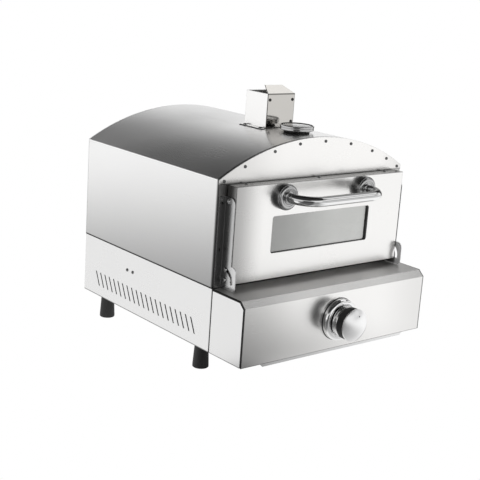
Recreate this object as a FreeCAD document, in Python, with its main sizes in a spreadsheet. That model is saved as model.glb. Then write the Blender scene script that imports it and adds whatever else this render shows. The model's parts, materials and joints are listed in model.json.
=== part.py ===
import FreeCAD
import Part
import math
import os
import re

import Sketcher

# Countertop gas pizza oven: a vented base with a control box in front, an arched oven body with a
# drop-down door, a flue on the roof and a dial thermometer beside it.
# past is how far a cutting tool runs past what it cuts.
# Axes: +X to the right of a person facing the door, +Y towards the back, +Z up. The origin is on the
# ground, under the middle of the bounding box. Lengths are in millimetres. In this file every y is
# counted from the front plane of the oven body, and front_plane puts that plane in the row's frame.

DIMENSIONS = {
    # whole body
    "front_plane": -136,
    "body_width": 400,
    "body_depth": 380,
    "base_height": 43,
    "seam_height": 148,
    "shoulder_height": 320.5,
    "arch_rise": 56.5,
    "past": 10,
    "gauge": 1.0,
    "plate": 1.2,
    "seam": 0.75,
    # feet
    "foot_inset_side": 22,
    "foot_inset_end": 47,
    "foot_top_radius": 11.3,
    "foot_base_radius": 13.4,
    "foot_bolt_radius": 3,
    "foot_bolt_length": 18,
    "foot_bolt_head_radius": 5.5,
    "foot_bolt_head_height": 4,
    "foot_bevel": 1,
    "foot_base_height": 4,
    "foot_top_height": 3,
    # control box
    "control_depth": 80,
    "chamfer_depth": 11,
    "chamfer_drop": 10,
    "cover_gap": 2,
    "lip_width": 320,
    "lip_drop": 5,
    # vents and screws of the base sides
    "vent_count": 21,
    "vent_pitch": 14.4,
    "vent_width": 3.2,
    "vent_rise": 25,
    "vent_lean": 12,
    "vent_start": 38.5,
    "vent_height": 62,
    "side_flange": 13,
    "side_screw_height": 115,
    "side_screw_middle": 231.7,
    "side_screw_spread": 17,
    # oven chamber
    "cavity_width": 324,
    "cavity_bottom": 168,
    "cavity_top": 300,
    "cavity_depth": 345,
    "facia_bottom": 312.5,
    "wool_width": 376,
    "wool_top": 314,
    "wool_depth": 366,
    "slot_width": 180,
    "slot_start": 60,
    "slot_end": 300,
    "arch_screw_inset": 7,
    # stone
    "stone_side": 310,
    "stone_thickness": 12,
    "stone_setback": 14,
    "stone_radius": 8,
    "rail_height": 11,
    "rail_width": 20,
    "rail_gap": 1,
    # flue
    "chimney_width": 59.2,
    "chimney_front": 99.8,
    "chimney_back": 156.5,
    "chimney_top": 434,
    "chimney_foot": 8,
    "flue_width": 50,
    "flue_front": 105,
    "flue_back": 151,
    "flue_top": 386,
    "flue_foot": 4,
    "tab_rise": 12,
    "tab_setback": 22,
    "tab_top_width": 38,
    "tab_slice": 2,
    "chimney_screw_inset": 4.8,
    "chimney_screw_top": 10,
    "chimney_screw_bottom": 47,
    "foot_screw_front": 9,
    "foot_screw_back": 7,
    "chimney_sink": 10,
    "foot_reach": 5,
    "plate_lap": 10,
    # thermometer
    "dial_setback": 56,
    "dial_radius": 28.5,
    "dial_height": 8.5,
    "dial_rim": 2.5,
    "dial_floor": 2,
    "dial_plate": 0.6,
    "dial_hole_radius": 4,
    "dial_foot_inset": 4,
    "dial_foot_rise": 2.5,
    "dial_edge": 1,
    "lens_bottom": 6.1,
    "lens_rim": 7.7,
    "lens_top": 8.3,
    "nut_height": 3,
    "nut_radius": 9,
    "probe_radius": 3,
    "probe_neck_radius": 5,
    "probe_neck_length": 10,
    "probe_tip": 284,
    "spindle_radius": 1,
    "spindle_clearance": 0.05,
    "spindle_start": 0.4,
    "spindle_length": 4,
    "pointer_hub_radius": 3,
    "pointer_hub_start": 3.4,
    "pointer_hub_height": 1.2,
    "pointer_start": 3.7,
    "pointer_length": 21,
    "pointer_root": 2.8,
    "pointer_tip": 0.8,
    "pointer_thickness": 0.6,
    # door
    "door_width": 367.5,
    "door_bottom": 158.5,
    "door_top": 312.5,
    "door_front": 22.7,
    "door_back": 2,
    "door_bend": 1.5,
    "door_fit": 0.1,
    "door_screw_spread": 153,
    "door_screw_setout": 5,
    "window_width": 214,
    "window_bottom": 200,
    "window_top": 260,
    "window_radius": 4,
    "glass_margin": 10,
    "glass_thickness": 4,
    "gasket_depth": 3,
    "clamp_margin": 16,
    # handle
    "handle_span": 174,
    "handle_height": 291,
    "handle_standoff": 54,
    "handle_bend": 35,
    "handle_radius": 8,
    "handle_wall": 1.2,
    "bolt_radius": 3,
    "bolt_head_radius": 5,
    "bolt_head_height": 3,
    "insert_length": 18,
    "rosette_radius": 21,
    "rosette_depth": 13,
    "rosette_shoulder": 4,
    "rosette_step": 2,
    "rosette_step_inset": 1.5,
    "rosette_face_inset": 4,
    "collar_lip": 3.5,
    "collar_wall": 3,
    "collar_drop": 2.5,
    # hinge
    "pivot_setout": 9,
    "pivot_height": 163.5,
    "pin_radius": 2.5,
    "pin_clearance": 0.05,
    "pin_root": 3,
    "pin_length": 7,
    "pin_head_height": 2.4,
    "pin_head_bevel": 1,
    "collet_radius": 4.5,
    "collet_length": 2,
    "pivot_head_radius": 5,
    "guide_head_radius": 4.2,
    "guide_radius": 17,
    "guide_lean": 6.5,
    "guide_clearance": 0.3,
    "slot_play": 1,
    "door_travel": 88,
    "cheek_inside": 184.5,
    "bracket_edge": 198,
    "bracket_bottom": 148.6,
    "bracket_top": 294,
    "ear_front": 36,
    "ear_top": 188,
    "ear_bevel": 4.5,
    "cheek_round": 9,
    "leg_screw_offset": 8,
    "leg_screw_low": 62,
    "leg_screw_high": 10,
    "cheek_screw_height": 287.5,
    "cheek_screw_setout": 8,
    # knob and gas valve
    "knob_height": 92.3,
    "bezel_radius": 35,
    "bezel_bore": 28,
    "bezel_depth": 11.5,
    "bezel_round": 6.5,
    "bezel_floor": 1.5,
    "collar_radius": 25.5,
    "grip_radius": 26.5,
    "cap_radius": 27,
    "cap_sphere": 45,
    "knob_front": 128,
    "knob_back": 89,
    "knob_push": 4,
    "grip_start": 102,
    "grip_end": 117,
    "grip_bevel": 0.6,
    "hub_radius": 8,
    "hub_back": 86,
    "hub_gap": 1,
    "stem_radius": 3,
    "stem_back": 50,
    "stem_clearance": 0.05,
    "plug_radius": 6,
    "valve_front": 62,
    "valve_back": 38,
    "valve_half": 12,
    "plug_inset": 2,
    "plug_floor": 3,
    "plug_gap": 0.3,
    "stem_gap": 1,
    "jet_radius": 3,
    "jet_length": 10,
    "jet_bore": 0.8,
    "igniter_reach": 6,
    "igniter_front": 4,
    "spring_radius": 6,
    "spring_wire": 0.6,
    "spring_turns": 6,
    "spring_gap": 0.4,
    # gas way
    "inlet_offset": 150,
    "inlet_height": 92,
    "inlet_reach": 20,
    "inlet_thread_radius": 6.58,
    "inlet_hex_radius": 11,
    "inlet_hex_depth": 6,
    "inlet_tail": 15,
    "pipe_radius": 4,
    "pipe_wall": 1,
    "pipe_bend": 25,
    "mixer_radius": 8,
    "mixer_bend": 28,
    "mixer_start": 24,
    "mixer_setback": 20,
    "burner_radius": 12,
    "burner_height": 150,
    "burner_start": 70,
    "burner_end": 300,
    "burner_cap": 2,
    "port_count": 18,
    "port_pitch": 12,
    "port_radius": 1,
    "electrode_offset": 22,
    "electrode_start": 42,
    "electrode_radius": 1,
    "electrode_length": 14,
    "ceramic_radius": 3.5,
    "ceramic_length": 34,
    "lead_start": 2,
    "lead_height": 98,
    "lead_rise_setback": 10,
    "lead_radius": 1.5,
    "lead_bend": 15,
}

ARCH_RADIUS = "((body_width ^ 2 / 4 + arch_rise ^ 2) / (2 * arch_rise))"
ARCH_CENTRE = f"(shoulder_height + arch_rise - {ARCH_RADIUS})"
APEX = "(shoulder_height + arch_rise)"
HALF = "(body_width / 2)"
DOOR_HALF = "(door_width / 2)"
CAVITY_HALF = "(cavity_width / 2)"
DIAL_BASE = f"({APEX} + nut_height)"
# a bend's inner corner lies nearer the bend by the sheet's thickness times these
TOP_MITRE = "tan(atan(chamfer_drop / chamfer_depth) / 2)"
FRONT_MITRE = "tan(atan(chamfer_depth / chamfer_drop) / 2)"

# screws by use: head radius and height, shank radius and length
PANEL_SCREW = {"head": 2.6, "height": 1.4, "shank": 1.4, "length": 6}
SIDE_SCREW = {"head": 3, "height": 1.2, "shank": 1.3, "length": 7}
FLUE_SCREW = {"head": 2.7, "height": 1.2, "shank": 1.3, "length": 4}
SHORT_SCREW = {"head": 2.4, "height": 1.3, "shank": 1.4, "length": 3}
CHEEK_SCREW = {"head": 3.4, "height": 1.8, "shank": 1.5, "length": 1.5}
# a screw head's top radius over its bottom radius
HEAD_TAPER = 0.7

# degrees from the crown at which the arch screws sit, as unevenly as a hand-drilled row
ARCH_SCREW_ANGLES = (-30.6, -23.8, -14.3, -6.2, 2.3, 11.3, 19.6, 25.7, 30.6)
REAR_SCREW_ANGLES = (-30, -20, -10, 0, 10, 20, 30)

# the helix mode that takes a height and a number of turns
HEIGHT_AND_TURNS = 2
# degrees from the rear at which the thermometer's pointer rests
REST_BEARING = 135

X_AXIS = FreeCAD.Vector(1, 0, 0)
Y_AXIS = FreeCAD.Vector(0, 1, 0)
Z_AXIS = FreeCAD.Vector(0, 0, 1)

doc = FreeCAD.newDocument("pizza_oven")
sheet = doc.addObject("Spreadsheet::Sheet", "dims")


# ---- expressions -----------------------------------------------------------------------------

def fill_sheet():
    for row, (alias, size) in enumerate(DIMENSIONS.items(), 1):
        sheet.set(f"A{row}", alias)
        sheet.set(f"B{row}", str(size))
        sheet.setAlias(f"B{row}", alias)
    doc.recompute()


def cells(text):
    """The expression with each alias written as a cell of the sheet."""
    return re.sub(r"[a-z_]+", lambda m: f"dims.{m[0]}" if m[0] in DIMENSIONS else m[0], text)


def number(text):
    return float(sheet.evalExpression(cells(text)))


def bind(thing, expressions):
    for name, text in expressions.items():
        thing.setExpression(name, cells(text))


def place(thing, x="0", y="0", z="0", rotation=None):
    """Puts an object at a point whose y is counted from the body's front plane."""
    if rotation:
        thing.Placement = FreeCAD.Placement(FreeCAD.Vector(), rotation)
    bind(thing, {
        "Placement.Base.x": x,
        "Placement.Base.y": f"front_plane + ({y})",
        "Placement.Base.z": z,
    })
    return thing


def helper(label):
    """A name for an object that is only a step towards a sub-part."""
    return f"{label}_step"


# ---- primitives and booleans -----------------------------------------------------------------

def block(label, x, y, z):
    """A box between a low and a high limit on each axis."""
    thing = doc.addObject("Part::Box", label)
    bind(thing, {
        "Length": f"({x[1]}) - ({x[0]})",
        "Width": f"({y[1]}) - ({y[0]})",
        "Height": f"({z[1]}) - ({z[0]})",
    })
    return place(thing, x[0], y[0], z[0])


def centred(label, width, y, z):
    """A box as wide as width, with its middle on the YZ plane."""
    return block(label, (f"-({width}) / 2", f"({width}) / 2"), y, z)


def rod(label, radius, length, x, y, z, towards=Z_AXIS):
    thing = doc.addObject("Part::Cylinder", label)
    bind(thing, {"Radius": radius, "Height": length})
    return place(thing, x, y, z, FreeCAD.Rotation(Z_AXIS, towards))


def stud(label, base_radius, tip_radius, length, x, y, z, towards):
    thing = doc.addObject("Part::Cone", label)
    bind(thing, {"Radius1": base_radius, "Radius2": tip_radius, "Height": length})
    return place(thing, x, y, z, FreeCAD.Rotation(Z_AXIS, towards))


def hexagon(label, radius, length, x, y, z, towards=Z_AXIS):
    thing = doc.addObject("Part::Prism", label)
    thing.Polygon = 6
    bind(thing, {"Circumradius": radius, "Height": length})
    return place(thing, x, y, z, FreeCAD.Rotation(Z_AXIS, towards))


def union(label, *parts):
    thing = doc.addObject("Part::MultiFuse", label)
    thing.Shapes = list(parts)
    return thing


def group(label, parts):
    """Separate solids that share a node."""
    thing = doc.addObject("Part::Compound", label)
    thing.Links = list(parts)
    return thing


def cut(label, base, *tools):
    for count, tool in enumerate(tools, 1):
        name = label if count == len(tools) else helper(label)
        thing = doc.addObject("Part::Cut", name)
        thing.Base = base
        thing.Tool = tool
        base = thing
    return base


def common(label, base, tool):
    thing = doc.addObject("Part::Common", label)
    thing.Base = base
    thing.Tool = tool
    return thing


def mirrored(label, source):
    thing = doc.addObject("Part::Mirroring", label)
    thing.Source = source
    thing.Normal = X_AXIS
    return thing


def screw(label, x, y, z, towards, head, height, shank, length):
    """A pan-head screw: its head stands on the point and its shank runs back from it."""
    return union(
        label,
        stud(helper(label), str(head), str(head * HEAD_TAPER), str(height), x, y, z, towards),
        rod(helper(label), str(shank), str(length), x, y, z, towards * -1),
    )


# ---- sketched bodies -------------------------------------------------------------------------

def new_body(label, x="0", y="0", z="0"):
    return place(doc.addObject("PartDesign::Body", label), x, y, z)


def new_sketch(body, plane, offset=None):
    """A sketch on one of the body's own planes, moved along the plane's normal by offset."""
    sketch = body.newObject("Sketcher::SketchObject", f"{body.Name}_sketch")
    support = next(each for each in body.Origin.OriginFeatures if each.Role == plane)
    sketch.AttachmentSupport = (support, [""])
    sketch.MapMode = "FlatFace"
    if offset:
        bind(sketch, {"AttachmentOffset.Base.z": offset})
    return sketch


def fix(sketch, kind, text, *where):
    """A dimension of the sketch, bound to an expression."""
    index = sketch.addConstraint(Sketcher.Constraint(kind, *where, number(text)))
    bind(sketch, {f"Constraints[{index}]": text})


def add_polygon(sketch, corners):
    first = sketch.GeometryCount
    points = [FreeCAD.Vector(number(u), number(v), 0) for u, v in corners]
    for start, end in zip(points, points[1:] + points[:1]):
        sketch.addGeometry(Part.LineSegment(start, end))
    for index, (u, v) in enumerate(corners):
        following = first + (index + 1) % len(corners)
        sketch.addConstraint(Sketcher.Constraint("Coincident", first + index, 2, following, 1))
        fix(sketch, "DistanceX", u, -1, 1, first + index, 1)
        fix(sketch, "DistanceY", v, -1, 1, first + index, 1)


def add_rectangle(sketch, u, v):
    add_polygon(sketch, [(u[0], v[0]), (u[1], v[0]), (u[1], v[1]), (u[0], v[1])])


def add_circle(sketch, u, v, radius):
    centre = FreeCAD.Vector(number(u), number(v), 0)
    index = sketch.addGeometry(Part.Circle(centre, Z_AXIS, number(radius)))
    fix(sketch, "DistanceX", u, -1, 1, index, 3)
    fix(sketch, "DistanceY", v, -1, 1, index, 3)
    fix(sketch, "Radius", radius, index)


def pad(body, sketch, length, reverse=False, both_ways=False):
    feature = body.newObject("PartDesign::Pad", f"{body.Name}_pad")
    feature.Profile = sketch
    feature.Reversed = reverse
    feature.Midplane = both_ways
    bind(feature, {"Length": length})
    return feature


def pocket(body, sketch, length, reverse=False, both_ways=False):
    """Cuts a sketch out of a body, and stops if the cut takes nothing away."""
    doc.recompute()
    before = body.Shape.Volume
    feature = body.newObject("PartDesign::Pocket", f"{body.Name}_pocket")
    feature.Profile = sketch
    feature.Reversed = reverse
    feature.Midplane = both_ways
    bind(feature, {"Length": length})
    doc.recompute()
    if body.Shape.Volume > before - 1:
        raise SystemExit(f"a pocket of {body.Label} cuts nothing")
    return feature


def edges_along(shape, direction, places):
    """Names of the straight edges that run along a direction through one of the places.

    A place gives the two coordinates that stay the same along the edge, in x, y, z order.
    """
    kept = [axis for axis in range(3) if abs(direction[axis]) < 0.5]
    names = []
    for index, edge in enumerate(shape.Edges, 1):
        ends = [vertex.Point for vertex in edge.Vertexes]
        if len(ends) < 2 or (ends[1] - ends[0]).cross(direction).Length > 0.001:
            continue
        for spot in places:
            if all(abs(ends[0][axis] - size) < 0.01 for axis, size in zip(kept, spot)):
                names.append(f"Edge{index}")
    return names


def round_edges(body, radius, direction, places):
    """Rounds edges of the body's last feature; places are expressions in the body's own frame."""
    doc.recompute()
    spots = [tuple(number(text) for text in spot) for spot in places]
    edges = edges_along(body.Tip.Shape, direction, spots)
    if len(edges) != len(places):
        raise SystemExit(f"{body.Label} has {len(edges)} of the {len(places)} edges to round")
    return add_fillet(body, radius, edges)


def add_fillet(body, radius, edges):
    rounded = body.Tip
    feature = body.newObject("PartDesign::Fillet", f"{body.Name}_round")
    feature.Base = (rounded, edges)
    bind(feature, {"Radius": radius})
    return feature


def turned(label, plane, outline, x="0", y="0", z="0"):
    """A turned piece. Its outline gives radius and height, and the height runs along Z for a
    sketch on the XZ plane and along Y for one on the XY plane."""
    body = new_body(label, x, y, z)
    sketch = new_sketch(body, plane)
    add_polygon(sketch, outline)
    feature = body.newObject("PartDesign::Revolution", f"{body.Name}_turn")
    feature.Profile = sketch
    feature.ReferenceAxis = (sketch, ["V_Axis"])
    feature.Angle = 360
    return body


def add_path(sketch, corners, bend):
    """A path of runs along the sketch's axes, joined by arcs that are tangent to them."""
    points = [FreeCAD.Vector(number(u), number(v), 0) for u, v in corners]
    radius = number(bend)
    start = points[0]
    pieces = []
    for before, corner, after in zip(points, points[1:], points[2:]):
        arriving = (corner - before).normalize()
        leaving = (after - corner).normalize()
        arc_start = corner - arriving * radius
        arc_end = corner + leaving * radius
        middle = corner + (leaving - arriving) * radius * (1 - math.sqrt(0.5))
        pieces += [Part.LineSegment(start, arc_start), Part.Arc(arc_start, middle, arc_end)]
        start = arc_end
    pieces.append(Part.LineSegment(start, points[-1]))
    sketch.addGeometry(pieces)
    tie_path(sketch, corners, bend)


def tie_path(sketch, corners, bend):
    """Constrains a path: each run lies on its own line, and each arc has the bend's radius."""
    for index in range(1, sketch.GeometryCount):
        line, arc = (index - 1, index) if index % 2 else (index, index - 1)
        line_end, arc_end = end_numbers(sketch, line, arc)
        sketch.addConstraint(Sketcher.Constraint("Tangent", line, line_end, arc, arc_end))
        if index % 2:
            fix(sketch, "Radius", bend, index)
    for index, (here, there) in enumerate(zip(corners, corners[1:])):
        line = 2 * index
        upright = abs(number(here[0]) - number(there[0])) < 0.001
        sketch.addConstraint(Sketcher.Constraint("Vertical" if upright else "Horizontal", line))
        kind, text = ("DistanceX", here[0]) if upright else ("DistanceY", here[1])
        fix(sketch, kind, text, -1, 1, line, 1)
    first_upright = abs(number(corners[0][0]) - number(corners[1][0])) < 0.001
    last_upright = abs(number(corners[-1][0]) - number(corners[-2][0])) < 0.001
    last_line = sketch.GeometryCount - 1
    for upright, (u, v), line, end in ((first_upright, corners[0], 0, 1),
                                       (last_upright, corners[-1], last_line, 2)):
        fix(sketch, "DistanceY" if upright else "DistanceX", v if upright else u, -1, 1, line, end)


def end_numbers(sketch, line, arc):
    """Which end of a line meets which end of an arc: 1 is an end's start and 2 its finish."""
    pairs = [(a, b) for a in (1, 2) for b in (1, 2)]
    return min(pairs, key=lambda pair: sketch.getPoint(line, pair[0]).distanceToPoint(
        sketch.getPoint(arc, pair[1])))


def bent_tube(label, plane, corners, bend, radius, bore=None, x="0", y="0", z="0"):
    """A tube along a path in one of the body's planes. The first run goes along the plane's
    second axis when plane is XY, and along its first axis when plane is YZ."""
    body = new_body(label, x, y, z)
    path = new_sketch(body, plane)
    add_path(path, corners, bend)
    section = new_sketch(body, "XZ_Plane", f"-({corners[0][1 if plane == 'XY_Plane' else 0]})")
    centre = (corners[0][0], "0") if plane == "XY_Plane" else ("0", corners[0][1])
    add_circle(section, *centre, radius)
    if bore:
        add_circle(section, *centre, bore)
    doc.recompute()
    sweep = body.newObject("PartDesign::AdditivePipe", f"{body.Name}_sweep")
    sweep.Profile = section
    sweep.Spine = (path, [f"Edge{index}" for index in range(1, path.GeometryCount + 1)])
    return body


# ---- base ------------------------------------------------------------------------------------

def make_feet():
    """Four tapered feet, each on a bolt that comes down through the bottom pan."""
    places = {
        "foot_front_left": (-1, "foot_inset_end"),
        "foot_front_right": (1, "foot_inset_end"),
        "foot_rear_left": (-1, "body_depth - foot_inset_end"),
        "foot_rear_right": (1, "body_depth - foot_inset_end"),
    }
    bolts = []
    for label, (side, y) in places.items():
        x = f"{side} * ({HALF} - foot_inset_side)"
        bolt = union(
            helper("foot_bolt"),
            hexagon(helper("foot_bolt"), "foot_bolt_head_radius", "foot_bolt_head_height", x, y,
                    "base_height + gauge"),
            rod(helper("foot_bolt"), "foot_bolt_radius", "foot_bolt_length + gauge",
                x, y, "base_height - foot_bolt_length"),
        )
        bolts.append(bolt)
        blank = turned(helper(label), "XZ_Plane", [
            ("0", "0"),
            ("foot_base_radius - foot_bevel", "0"),
            ("foot_base_radius", "foot_bevel"),
            ("foot_base_radius", "foot_base_height"),
            ("foot_top_radius", "base_height - foot_top_height"),
            ("foot_top_radius", "base_height"),
            ("0", "base_height"),
        ], x, y)
        cut(label, blank, bolt)
    return group("foot_bolts", bolts)


def make_base():
    bolts = make_feet()
    side_screws = make_side_screws()
    make_base_sides(side_screws)
    make_bottom_pan(bolts)
    rear = block(helper("base_rear"), (f"-{HALF} + gauge", f"{HALF} - gauge"),
                 ("body_depth - gauge", "body_depth"),
                 ("base_height + gauge", "seam_height - 2 * seam"))
    hole = rod(helper("base_rear"), "inlet_thread_radius", "4 * gauge", "inlet_offset",
               "body_depth - 2 * gauge", "inlet_height", Y_AXIS)
    cut("base_rear", rear, hole)
    make_control_box()


def make_side_screws():
    screws = []
    for side in (-1, 1):
        for end in (-0.5, 0.5):
            screws.append(screw(
                helper("side_screw"), f"{side} * {HALF}",
                f"side_screw_middle + {end} * side_screw_spread", "side_screw_height",
                X_AXIS * side, **SIDE_SCREW))
    return group("side_screws", screws)


def make_base_sides(screws):
    """A side panel with a row of slanted vents and a flange along its top, and its mirror image."""
    body = new_body(helper("base_side_left"))
    outside = f"-{HALF}"
    ends = ("seam", "body_depth - gauge")
    web = new_sketch(body, "YZ_Plane", outside)
    add_rectangle(web, ends, ("base_height", "seam_height - seam"))
    pad(body, web, "gauge")
    flange = new_sketch(body, "YZ_Plane", outside)
    add_rectangle(flange, ends, ("seam_height - seam - gauge", "seam_height - seam"))
    pad(body, flange, "side_flange")
    vent = new_sketch(body, "YZ_Plane", outside)
    add_polygon(vent, [
        ("vent_start", "vent_height"),
        ("vent_start + vent_width", "vent_height"),
        ("vent_start + vent_width + vent_lean", "vent_height + vent_rise"),
        ("vent_start + vent_lean", "vent_height + vent_rise"),
    ])
    slot = pocket(body, vent, "4 * gauge", both_ways=True)
    row = body.newObject("PartDesign::LinearPattern", f"{body.Name}_row")
    row.Originals = [slot]
    row.Direction = (vent, ["H_Axis"])
    bind(row, {"Length": "vent_pitch * (vent_count - 1)", "Occurrences": "vent_count"})
    body.Tip = row
    left = cut("base_side_left", body, screws)
    right = mirrored("base_side_right", left)
    return left, right


def make_bottom_pan(bolts):
    """The floor of the base, with a bent-down lip under the front of the control box."""
    body = new_body(helper("bottom_pan"))
    floor = new_sketch(body, "XY_Plane", "base_height")
    add_rectangle(floor, (f"-{HALF} + gauge", f"{HALF} - gauge"),
                  ("gauge - control_depth", "body_depth - gauge"))
    pad(body, floor, "gauge")
    lip = new_sketch(body, "XZ_Plane", "control_depth - gauge")
    add_polygon(lip, [
        ("-lip_width / 2", "base_height"),
        ("lip_drop - lip_width / 2", "base_height - lip_drop"),
        ("lip_width / 2 - lip_drop", "base_height - lip_drop"),
        ("lip_width / 2", "base_height"),
    ])
    pad(body, lip, "gauge", reverse=True)
    return cut("bottom_pan", body, bolts)


def make_control_box():
    """A cover bent from one sheet over the top, chamfer and front, and a plate at each side."""
    body = new_body("control_cover")
    outline = new_sketch(body, "YZ_Plane")
    add_polygon(outline, [
        ("-seam", "seam_height"),
        ("chamfer_depth - control_depth", "seam_height"),
        ("-control_depth", "seam_height - chamfer_drop"),
        ("-control_depth", "base_height"),
        ("gauge - control_depth", "base_height"),
        ("gauge - control_depth", f"seam_height - chamfer_drop - gauge * {FRONT_MITRE}"),
        (f"chamfer_depth - control_depth + gauge * {TOP_MITRE}", "seam_height - gauge"),
        ("-seam", "seam_height - gauge"),
    ])
    pad(body, outline, "body_width", both_ways=True)
    hole = new_sketch(body, "XZ_Plane", "control_depth")
    add_circle(hole, "0", "knob_height", "hub_radius + hub_gap")
    pocket(body, hole, "6 * gauge", both_ways=True)

    inset = "(gauge + cover_gap)"
    side = new_body("control_side_left")
    plate = new_sketch(side, "YZ_Plane", f"-{HALF}")
    add_polygon(plate, [
        ("-seam", "base_height"),
        (f"{inset} - control_depth", "base_height"),
        (f"{inset} - control_depth", f"seam_height - chamfer_drop - {inset} * {FRONT_MITRE}"),
        (f"chamfer_depth - control_depth + {inset} * {TOP_MITRE}", f"seam_height - {inset}"),
        ("-seam", f"seam_height - {inset}"),
    ])
    pad(side, plate, "gauge")
    mirrored("control_side_right", side)


# ---- oven body -------------------------------------------------------------------------------

def make_arch_tools():
    """Cylinders whose surfaces are the roof's outside and inside and the top of the flue's foot."""
    tools = {}
    for name, extra in (("roof", "0"), ("ceiling", "-gauge"), ("foot", "plate")):
        tools[name] = rod(helper(name), f"{ARCH_RADIUS} + ({extra})", "body_depth", "0", "0",
                          ARCH_CENTRE, Y_AXIS)
    return tools


def arch_point(angle):
    """Where a screw sits just inside the arch, at an angle from the crown."""
    reach = f"({ARCH_RADIUS} - arch_screw_inset)"
    return f"{reach} * sin({angle} deg)", f"{ARCH_CENTRE} + {reach} * cos({angle} deg)"


def make_panel_screws():
    screws = []
    rows = ((ARCH_SCREW_ANGLES, "0", Y_AXIS * -1), (REAR_SCREW_ANGLES, "body_depth", Y_AXIS))
    for angles, y, towards in rows:
        for angle in angles:
            x, z = arch_point(angle)
            screws.append(screw(helper("panel_screw"), x, y, z, towards, **PANEL_SCREW))
    return group("panel_screws", screws)


def make_shell(arch, openings):
    """Both sides and the roof, bent from one sheet."""
    height = ("seam_height + seam", f"{APEX} + past")
    lengthways = ("plate", "body_depth - plate")
    outer = common(helper("outer_shell"),
                   centred(helper("outer_shell"), "body_width", lengthways, height), arch["roof"])
    inner = common(helper("outer_shell"),
                   centred(helper("outer_shell"), "body_width - 2 * gauge", ("0", "body_depth"),
                           ("seam_height - past", f"{APEX} + past")), arch["ceiling"])
    return cut("outer_shell", outer, inner, *openings)


def make_end_plates(arch, screws):
    """The facia over the door, the frame behind it, and the panel at the back."""
    above = f"{APEX} + past"
    facia = common(helper("facia"), centred(helper("facia"), "body_width", ("0", "plate"),
                                            ("facia_bottom", above)), arch["roof"])
    cut("facia", facia, screws)
    rear = common(helper("rear_panel"),
                  centred(helper("rear_panel"), "body_width",
                          ("body_depth - plate", "body_depth"),
                          ("seam_height - seam", above)), arch["roof"])
    cut("rear_panel", rear, screws)
    frame = common(helper("front_frame"),
                   centred(helper("front_frame"), "body_width - 2 * gauge",
                           ("plate", "2 * plate"), ("seam_height - seam", above)),
                   arch["ceiling"])
    opening = centred(helper("front_frame"), "cavity_width", ("0", "4 * plate"),
                      ("cavity_bottom", "cavity_top"))
    return cut(helper("front_frame"), frame, opening, screws)


def make_chamber(flue_hole, probe_hole):
    """The sheet-metal liner, and the wool blanket around its top, sides and back."""
    start = "2 * plate"
    outside = "(cavity_width + 2 * gauge)"
    end = f"({start} + cavity_depth)"
    body = centred(helper("liner"), outside, (start, end),
                   ("cavity_bottom - gauge", "cavity_top + gauge"))
    hollow = centred(helper("liner"), "cavity_width", ("0", f"{end} - gauge"),
                     ("cavity_bottom", "cavity_top"))
    burner_slot = centred(helper("liner"), "slot_width", ("slot_start", "slot_end"),
                          ("cavity_bottom - 2 * gauge", "cavity_bottom + gauge"))
    cut("liner", body, hollow, burner_slot, flue_hole, probe_hole)

    wool = centred(helper("insulation"), "wool_width", (start, "wool_depth"),
                   ("cavity_bottom - gauge", "wool_top"))
    core = centred(helper("insulation"), outside, ("0", end),
                   ("cavity_bottom - 2 * gauge", "cavity_top + gauge"))
    flange_hole = centred(helper("insulation"), "chimney_width", ("chimney_front", "chimney_back"),
                          ("cavity_top", "wool_top + past"))
    cut("insulation", wool, core, flange_hole, probe_hole)


def make_stone():
    body = new_body("pizza_stone")
    level = "(cavity_bottom + rail_height)"
    outline = new_sketch(body, "XY_Plane", level)
    front, back = "stone_setback", "stone_setback + stone_side"
    add_rectangle(outline, ("-stone_side / 2", "stone_side / 2"), (front, back))
    pad(body, outline, "stone_thickness")
    corners = [(f"{side} * stone_side / 2", y) for side in (-1, 1) for y in (front, back)]
    round_edges(body, "stone_radius", Z_AXIS, corners)
    rails = []
    for side in (-1, 1):
        web = (f"{CAVITY_HALF} - rail_gap - plate", f"{CAVITY_HALF} - rail_gap")
        shelf = (f"{CAVITY_HALF} - rail_gap - rail_width", f"{CAVITY_HALF} - rail_gap")
        if side < 0:
            web = tuple(f"-({text})" for text in reversed(web))
            shelf = tuple(f"-({text})" for text in reversed(shelf))
        run = ("stone_setback", "stone_setback + stone_side")
        rails.append(union(
            helper("stone_rail"),
            block(helper("stone_rail"), web, run, ("cavity_bottom", level)),
            block(helper("stone_rail"), shelf, run, (f"{level} - plate", level)),
        ))
    return group("stone_rails", rails)


# ---- flue ------------------------------------------------------------------------------------

def make_flue_duct():
    """The inner duct: a square tube from the liner's top into the chimney, with a foot flange."""
    foot_level = "(cavity_top + gauge)"
    run = ("flue_front", "flue_back")
    tube = centred(helper("flue_duct"), "flue_width", run, (foot_level, "flue_top"))
    flange = centred(helper("flue_duct"), "flue_width + 2 * flue_foot",
                     ("flue_front - flue_foot", "flue_back + flue_foot"),
                     (foot_level, f"{foot_level} + gauge"))
    bore = centred(helper("flue_duct"), "flue_width - 2 * gauge",
                   ("flue_front + gauge", "flue_back - gauge"),
                   (f"{foot_level} - past", "flue_top + past"))
    cut("flue_duct", union(helper("flue_duct"), tube, flange), bore)


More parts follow.
